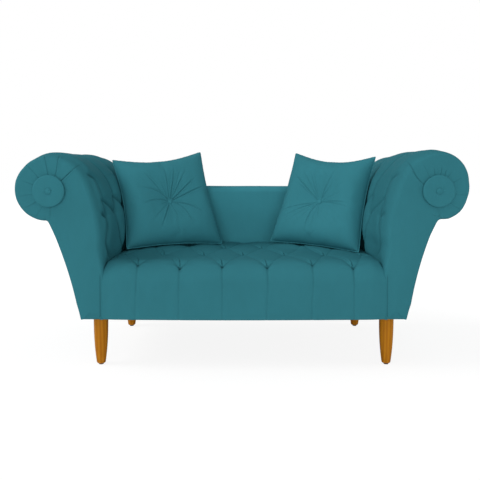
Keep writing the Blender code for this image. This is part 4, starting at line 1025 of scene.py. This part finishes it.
creaseLists = {  # from the button: direction in degrees, length, depth and turn along the way
    "left": [(76, 0.145, 1.0, 0), (94, 0.137, 0.7, 0), (113, 0.110, 0.3, 2), (131, 0.160, 0.6, 0),
             (128, 0.133, 0.8, 27), (165, 0.125, 0.65, 21), (193, 0.060, 0.35, 5), (220, 0.112, 0.4, 0),
             (240, 0.127, 1.0, 0), (283, 0.066, 0.3, 0), (345, 0.120, 0.65, -39), (350, 0.140, 0.85, -14),
             (357, 0.065, 0.4, 0), (21, 0.172, 0.9, -1), (38, 0.150, 1.0, 0), (57, 0.152, 0.7, 0),
             (65, 0.140, 0.4, 0)],
    "right": [(139, 0.175, 0.9, 0), (146, 0.140, 0.35, 0), (125, 0.160, 0.5, 0), (115, 0.130, 0.5, 0),
              (108, 0.130, 0.35, 0), (67, 0.133, 0.7, 0), (55, 0.102, 0.55, 0), (21, 0.100, 0.35, 0),
              (2, 0.140, 0.7, -6), (354, 0.145, 0.6, -4), (198, 0.172, 0.8, 0), (209, 0.155, 0.85, 0),
              (220, 0.142, 0.45, 0), (233, 0.120, 0.4, 0), (241, 0.128, 0.9, 17), (269, 0.122, 0.4, 0),
              (284, 0.075, 0.5, 0)],
    "rear": [(75, 0.140, 0.8, 3), (110, 0.120, 0.6, -4), (150, 0.140, 0.7, 4), (190, 0.120, 0.5, 0),
             (230, 0.140, 0.8, 5), (262, 0.110, 0.5, -4), (300, 0.150, 0.7, 6), (340, 0.110, 0.5, 0),
             (25, 0.130, 0.7, 4)],
}


def joinedSheets(n):
    # faces of a front and a rear sheet of (n + 1) x (n + 1) points, sewn together along the front one's rim
    count = (n + 1) ** 2
    rim = np.ones((n + 1, n + 1), bool)
    rim[1:-1, 1:-1] = False
    index = np.arange(2 * count)
    index[count:][rim.ravel()] = np.arange(count)[rim.ravel()]
    grid = gridFaces(n + 1, n + 1)
    return rim, np.concatenate([grid, index[grid[:, ::-1] + count]])


def fromHub(points, hub):
    return points[:, 0] - hub[0], points[:, 2] - hub[1]


def pillowShape(half, settled, places):
    # Two sheets over u, v from -1 to 1. Each side is drawn in by (1 - v^2)^1.15. The thickness is a dome
    # of ((1 - |u|^a)(1 - |v|^b))^0.6, less a bell at the button: a and b are 4 behind, and in front each
    # side has its own firmness. The four corners carry the sheets with them.
    u, v = np.meshgrid(places, places)
    sideIn = np.where(u > 0, settled["right"], settled["left"])
    endIn = np.where(v > 0, settled["top"], settled["bottom"])
    skewed = u + settled["skew"] * (1 - u * u)
    x = u * (1 - sideIn * (1 - v * v) ** 1.15) * pillow["side"] / 2
    z = v * (1 - endIn * (1 - skewed * skewed) ** 1.15) * pillow["side"] / 2
    hub = settled["hub"]
    away = np.maximum(0, np.hypot(x - hub[0], z - hub[1]) - pillow["buttonRadius"])
    pull = pillow["dimple"] * np.exp(-((away / pillow["dimpleRadius"]) ** 1.3)) * half / pillow["half"]

    def thick(sidePower, endPower):
        dome = (1 - np.abs(u) ** sidePower) * (1 - np.abs(v) ** endPower)
        return (half - pull) * np.maximum(0, dome) ** 0.6

    left, right, low, high = settled["firm"]
    front = thick(np.where(u < 0, left, right), np.where(v < 0, low, high))
    rear = thick(4, 4)
    for (across, up), (cornerU, cornerV) in zip(settled["corners"], ((-1, 1), (1, 1), (-1, -1), (1, -1))):
        share = ((1 + cornerU * u) / 2 * (1 + cornerV * v) / 2) ** 1.3
        x = x + across * share
        z = z + up * share
    return stacked(x, -front, z), stacked(x, rear, z)


def inflate(name, sheets, hub):
    # cloth with air inside, pinned under the two buttons, from a slimmer start: how far each point moves
    n = pillow["steps"]
    rim, faces = joinedSheets(n)
    points = np.stack(sheets).reshape(-1, 3)
    mesh = bpy.data.meshes.new(name)
    mesh.from_pydata(points.tolist(), [], faces.tolist())
    obj = newObject(name, mesh)
    held = obj.vertex_groups.new(name="held")
    middle = np.hypot(*fromHub(points, hub)) < 0.012
    unused = np.setdiff1d(np.arange(len(points)), faces)
    held.add(np.concatenate([np.flatnonzero(middle), unused]).tolist(), 1.0, "REPLACE")
    cloth = obj.modifiers.new("inflate", "CLOTH")
    cloth.settings.vertex_group_mass = "held"
    cloth.settings.use_pressure = True
    cloth.settings.uniform_pressure_force = pillow["pressure"]
    cloth.settings.effector_weights.gravity = 0
    cloth.settings.quality = 5
    cloth.settings.tension_stiffness = cloth.settings.compression_stiffness = pillow["stiffness"]
    cloth.settings.bending_stiffness = pillow["bending"]
    cloth.collision_settings.use_collision = False
    scene = bpy.context.scene
    for number in range(1, pillow["frames"] + 1):
        scene.frame_set(number)
    shown = obj.evaluated_get(bpy.context.evaluated_depsgraph_get())
    result = np.empty(points.size)
    shown.data.vertices.foreach_get("co", result)
    scene.frame_set(1)
    bpy.data.objects.remove(obj)
    shift = result.reshape(-1, 3) - points
    length = np.linalg.norm(shift, axis=1, keepdims=True)
    shift *= np.minimum(1, pillow["cap"] / np.maximum(length, 1e-9))
    shift *= np.array(pillow["share"])
    shift = shift.reshape(2, n + 1, n + 1, 3)
    shift[1][rim] = shift[0][rim]
    return shift


def resample(shift, places):
    # cubic B-spline weights carry the simulated movement to the finer grid, once along each side
    n = shift.shape[0] - 1
    t = np.abs((places[:, None] + 1) * n / 2 - np.arange(n + 1)[None, :])
    weight = np.where(t < 1, (4 - 6 * t ** 2 + 3 * t ** 3) / 6, np.maximum(0, 2 - t) ** 3 / 6)
    weight /= weight.sum(1, keepdims=True)
    return np.einsum("ij,jkc,lk->ilc", weight, shift, weight)


def addCreases(points, sign, creases, hub):
    # a crease is a groove from the button that widens outwards and fades over the last half of its length,
    # with a soft ridge on each side
    x, z = fromHub(points, hub)
    radius = np.hypot(x, z)
    angle = np.degrees(np.arctan2(z, sign * x))
    rise, fold = np.zeros(len(x)), np.zeros(len(x))
    for direction, length, depth, bend in creases:
        share = radius / length
        off = np.radians((angle - direction - bend * share + 180) % 360 - 180) * radius
        wide = pillow["narrow"] + pillow["widens"] * np.clip(share, 0, 1.2)
        along = smooth((radius - 0.004) / 0.014) * smooth((1.2 - share) / 0.6)
        groove = bell(off, wide)
        ridge = bell(np.abs(off) - 1.9 * wide, 1.1 * wide)
        rise += depth * along * (pillow["ridge"] * ridge - pillow["groove"] * groove)
        # painted shade down each groove, for the nap's colour
        fold = np.maximum(fold, pillow["shade"] * depth * along * groove)
    return rise, fold


def makeSeam(name, rim, toPlace):
    # the sewn edge: a flat oval lip carried once round the rim, standing out across it
    forward = unit(np.roll(rim, -1, 0) - np.roll(rim, 1, 0))
    out = np.cross(forward, [0, 1.0, 0])
    out *= np.sign((out * rim).sum(1, keepdims=True))
    out = unit(out)
    turn = np.linspace(0, 2 * np.pi, 10, endpoint=False)
    steps = np.arange(len(rim))[:, None]
    proud = pillow["lip"] / 2 * (1 + 0.12 * np.sin(steps * 1.9) + 0.08 * np.sin(steps * 0.47))
    lip = rim[:, None] + out[:, None] * (np.cos(turn) * proud + 0.0008)[..., None]
    lip[..., 1] += np.sin(turn) * pillow["lipThick"] + 0.0004 * np.sin(steps * 0.9)
    points, faces = toPlace(lip.reshape(-1, 3)), gridFaces(len(rim), len(turn), True, True)
    seam = makePiece(f"{name}_pillow_seam", points, faces, pillowLightenedSuede, f"{name}_pillow")


def makePillow(name, side):
    # two sheets, blown up and creased, that lean in a rear corner; then the sewn edge and the buttons
    low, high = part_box(f"{name}_pillow")
    centre = (low + high) / 2
    upright = Matrix.Rotation(-side * math.radians(pillow["turns"][name]), 3, "Z")
    upright = upright @ Matrix.Rotation(-math.radians(pillow["lean"]), 3, "X")

    def toPlace(points):
        return points @ np.array(upright).T + np.array(centre)

    hub = slump[name]["hub"]
    n = pillow["fine"]
    even = np.linspace(-1, 1, n + 1)
    places = even - pillow["gather"] * np.sin(np.pi * even) / np.pi  # closer together towards the button
    half = pillow["startHalf"]
    sheets = np.stack(pillowShape(half, slump[name], places))
    coarse = pillowShape(pillow["startHalf"], slump[name], np.linspace(-1, 1, pillow["steps"] + 1))
    for sheet, shift in zip(sheets, inflate(f"{name}_pillow_cloth", coarse, hub)):
        sheet += resample(shift, places)
    rim, faces = joinedSheets(n)
    sheets[:, rim] = sheets[:, rim].mean(0)
    points = sheets.reshape(2, -1, 3)
    inward = smooth((1 - np.abs(points[..., (0, 2)]).max(-1) / (pillow["side"] / 2)) / 0.22) * ~rim.ravel()
    # painted shade in the creases, kept per point as the fold attribute
    fold = np.zeros(points.shape[:2])
    thick = (pillow["frontHalf"], pillow["rearHalf"])
    for k, (sign, creases) in enumerate(((1, creaseLists[name]), (-1, creaseLists["rear"]))):
        part = points[k]
        part[:, 1] *= thick[k] / np.abs(part[:, 1]).max()
        rise, creaseShade = addCreases(part, sign, creases, hub)
        slack = pillow["slack"] * ripple(part[:, 0] * 40, part[:, 2] * 40, 30 + side)
        part[:, 1] -= sign * (rise * pillow["pull"][name] + slack) * inward[k]
        fold[k] = creaseShade * pillow["pull"][name] * inward[k]
    used = np.unique(faces)
    renumber = np.zeros(fold.size, int)
    renumber[used] = np.arange(len(used))
    cover = makePiece(f"{name}_pillow_cover", toPlace(points.reshape(-1, 3))[used], renumber[faces],
                      pillowLightenedSuede, f"{name}_pillow", fold=fold.ravel()[used])
    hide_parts(f"{name}_pillow")
    makeSeam(name, points[0][rimOf(n + 1, n + 1)], toPlace)

    # covered buttons in the dimples
    stud = studProfile(pillow["buttonRadius"], pillow["buttonHead"], 0.9, -0.0025, sunk=0.001)
    for face, sign, part in (("front", 1, points[0]), ("rear", -1, points[1])):
        hollow = np.abs(part[np.hypot(*fromHub(part, hub)) < 0.010, 1]).mean()
        place = Matrix.Translation(centre) @ upright.to_4x4()
        place = place @ Matrix.Translation((hub[0], -sign * hollow, hub[1]))
        place = place @ Matrix.Rotation(sign * math.pi / 2, 4, "X")
        button = turnedPiece(f"{name}_pillow_{face}_stud", stud, 40, place, pillowLightenedSuede, f"{name}_pillow")
        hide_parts(f"{name}_pillow_{face}_button")


for sideName, side in sides:
    makePillow(sideName, side)
print("pillows made")


# legs
leg = {"length": 0.178, "bottom": 0.0043, "top": 0.0262, "tip": 0.0155, "power": 2.5, "tipRound": 0.006,
       "chamfer": (0.0010, 0.0012),
       "places": {"front_left": (-0.52079, -0.26530), "front_right": (0.52079, -0.26530),
                  "rear_left": (-0.50679, 0.28990), "rear_right": (0.50679, 0.28990)}}


def makeLegs():
    # radius = tip + flare (1 - (1 - h / length) ^ power), with an eased foot and a narrow chamfer on top
    h = np.linspace(leg["tipRound"], leg["length"] - leg["chamfer"][1], 60)
    radius = leg["tip"] + (leg["top"] - leg["tip"]) * (1 - (1 - h / leg["length"]) ** leg["power"])
    ease = [(radius[0] - leg["tipRound"] * (1 - math.cos(a)), leg["tipRound"] * (1 - math.sin(a)))
            for a in np.linspace(math.pi / 2, 0, 8)[:-1]]
    profile = [(0.0, 0.0)] + ease + list(zip(radius, h))
    profile += [(leg["top"] - leg["chamfer"][0], leg["length"]), (0.0, leg["length"])]
    for tag, (x, y) in leg["places"].items():
        place = Matrix.Translation((x, y, leg["bottom"]))
        made = turnedPiece(f"{tag}_turned_leg", profile, 64, place, honeyWood)
        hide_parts(f"{tag}_leg")


makeLegs()
print("legs made")


# the CAD nodes keep their shape and get a material
finishes = {"pine": rawPine, "hardboard": bentBoard, "steel": zincBolt, "nylon": nylonGlide,
            "webbing": strapWeave, "dust_lining": liningCloth, "teal_suede": tealSuede,
            "stained_wood": honeyWood}
for part in frame["record"]["subparts"]:
    node = frame["nodes"][part["node"]]
    node.data.materials.clear()
    node.data.materials.append(finishes[part["material_slot"]])


# floor, light and camera
studio = {
    "floorHalf": 14.0, "floor": 0.90, "nearShare": 0.80, "glow": 1.10, "fadeFrom": 1.1, "fadeTo": 2.6,
    "ambient": 0.35,
    "lamps": {  # softboxes: turn from the front towards the right, height angle, power
        "front": (-12, 11, 1010), "low": (12, 2, 920), "left": (-85, 42, 1500), "above": (-35, 60, 320),
        "right": (75, 20, 420),
    },
    "lampFar": 20.0, "lampSize": 9.0, "aim": (0, 0, 0.42),
    "camera": (-0.0091, -2.5198, 0.7123), "pitch": 2.0, "lens": 46.66, "shift": (-0.0024, -0.1027),
}


def makeFloor():
    # seen directly it is part glow, more so far from the sofa, and so it shows as white with a soft shadow
    half = studio["floorHalf"]
    mesh = bpy.data.meshes.new("floor")
    corners = [(-half, -half, 0), (half, -half, 0), (half, half, 0), (-half, half, 0)]
    mesh.from_pydata(corners, [], [(0, 1, 2, 3)])
    floor = newObject("floor", mesh)
    plain = {"Base Color": (*(studio["floor"],) * 3, 1), "Roughness": 0.9, "Specular IOR Level": 0.1}
    made, tree, shader, vector = startMaterial("paleFloor", **plain)
    away = addNode(tree, "ShaderNodeVectorMath", operation="LENGTH")
    fill(tree, away.inputs[0], vector)
    share = ranged(tree, away.outputs["Value"], studio["nearShare"], 1.0,
                   studio["fadeFrom"], studio["fadeTo"])
    seen = addNode(tree, "ShaderNodeLightPath").outputs["Is Camera Ray"]
    glow = addNode(tree, "ShaderNodeEmission", Strength=studio["glow"])
    mixShaders(tree, calc(tree, "MULTIPLY", seen, share), shader.outputs["BSDF"], glow.outputs["Emission"],
               tree.nodes["Material Output"].inputs["Surface"])
    mesh.materials.append(made)


def makeWorld():
    world = bpy.data.worlds.new("studio")
    bpy.context.scene.world = world
    world.use_nodes = True
    tree = world.node_tree
    white = (1, 1, 1, 1)
    soft = tree.nodes["Background"]
    feed(tree, soft, Color=white, Strength=studio["ambient"])
    seen = addNode(tree, "ShaderNodeBackground", Color=white, Strength=1.0)
    path = addNode(tree, "ShaderNodeLightPath").outputs
    direct = calc(tree, "MAXIMUM", path["Is Camera Ray"], path["Is Glossy Ray"])
    direct = calc(tree, "MAXIMUM", direct, path["Is Transmission Ray"])
    mixShaders(tree, direct, soft.outputs["Background"], seen.outputs["Background"],
               tree.nodes["World Output"].inputs["Surface"])


def makeLamps():
    for name, (turn, height, power) in studio["lamps"].items():
        data = bpy.data.lights.new(name, "AREA")
        data.shape = "SQUARE"
        data.size = studio["lampSize"]
        data.energy = power
        lamp = newObject(name, data)
        turn, height = math.radians(turn), math.radians(height)
        level = math.cos(height)
        towards = Vector((math.sin(turn) * level, -math.cos(turn) * level, math.sin(height)))
        lamp.location = Vector(studio["aim"]) + studio["lampFar"] * towards
        lamp.rotation_euler = towards.to_track_quat("Z", "Y").to_euler()


def makeCamera():
    data = bpy.data.cameras.new("camera")
    data.lens = studio["lens"]
    data.sensor_width = 36
    data.shift_x, data.shift_y = studio["shift"]
    camera = newObject("camera", data)
    camera.location = studio["camera"]
    camera.rotation_euler = (math.radians(90 - studio["pitch"]), 0, 0)
    bpy.context.scene.camera = camera


makeFloor()
makeWorld()
makeLamps()
makeCamera()
bpy.context.scene.view_settings.view_transform = "Standard"
print("studio made")
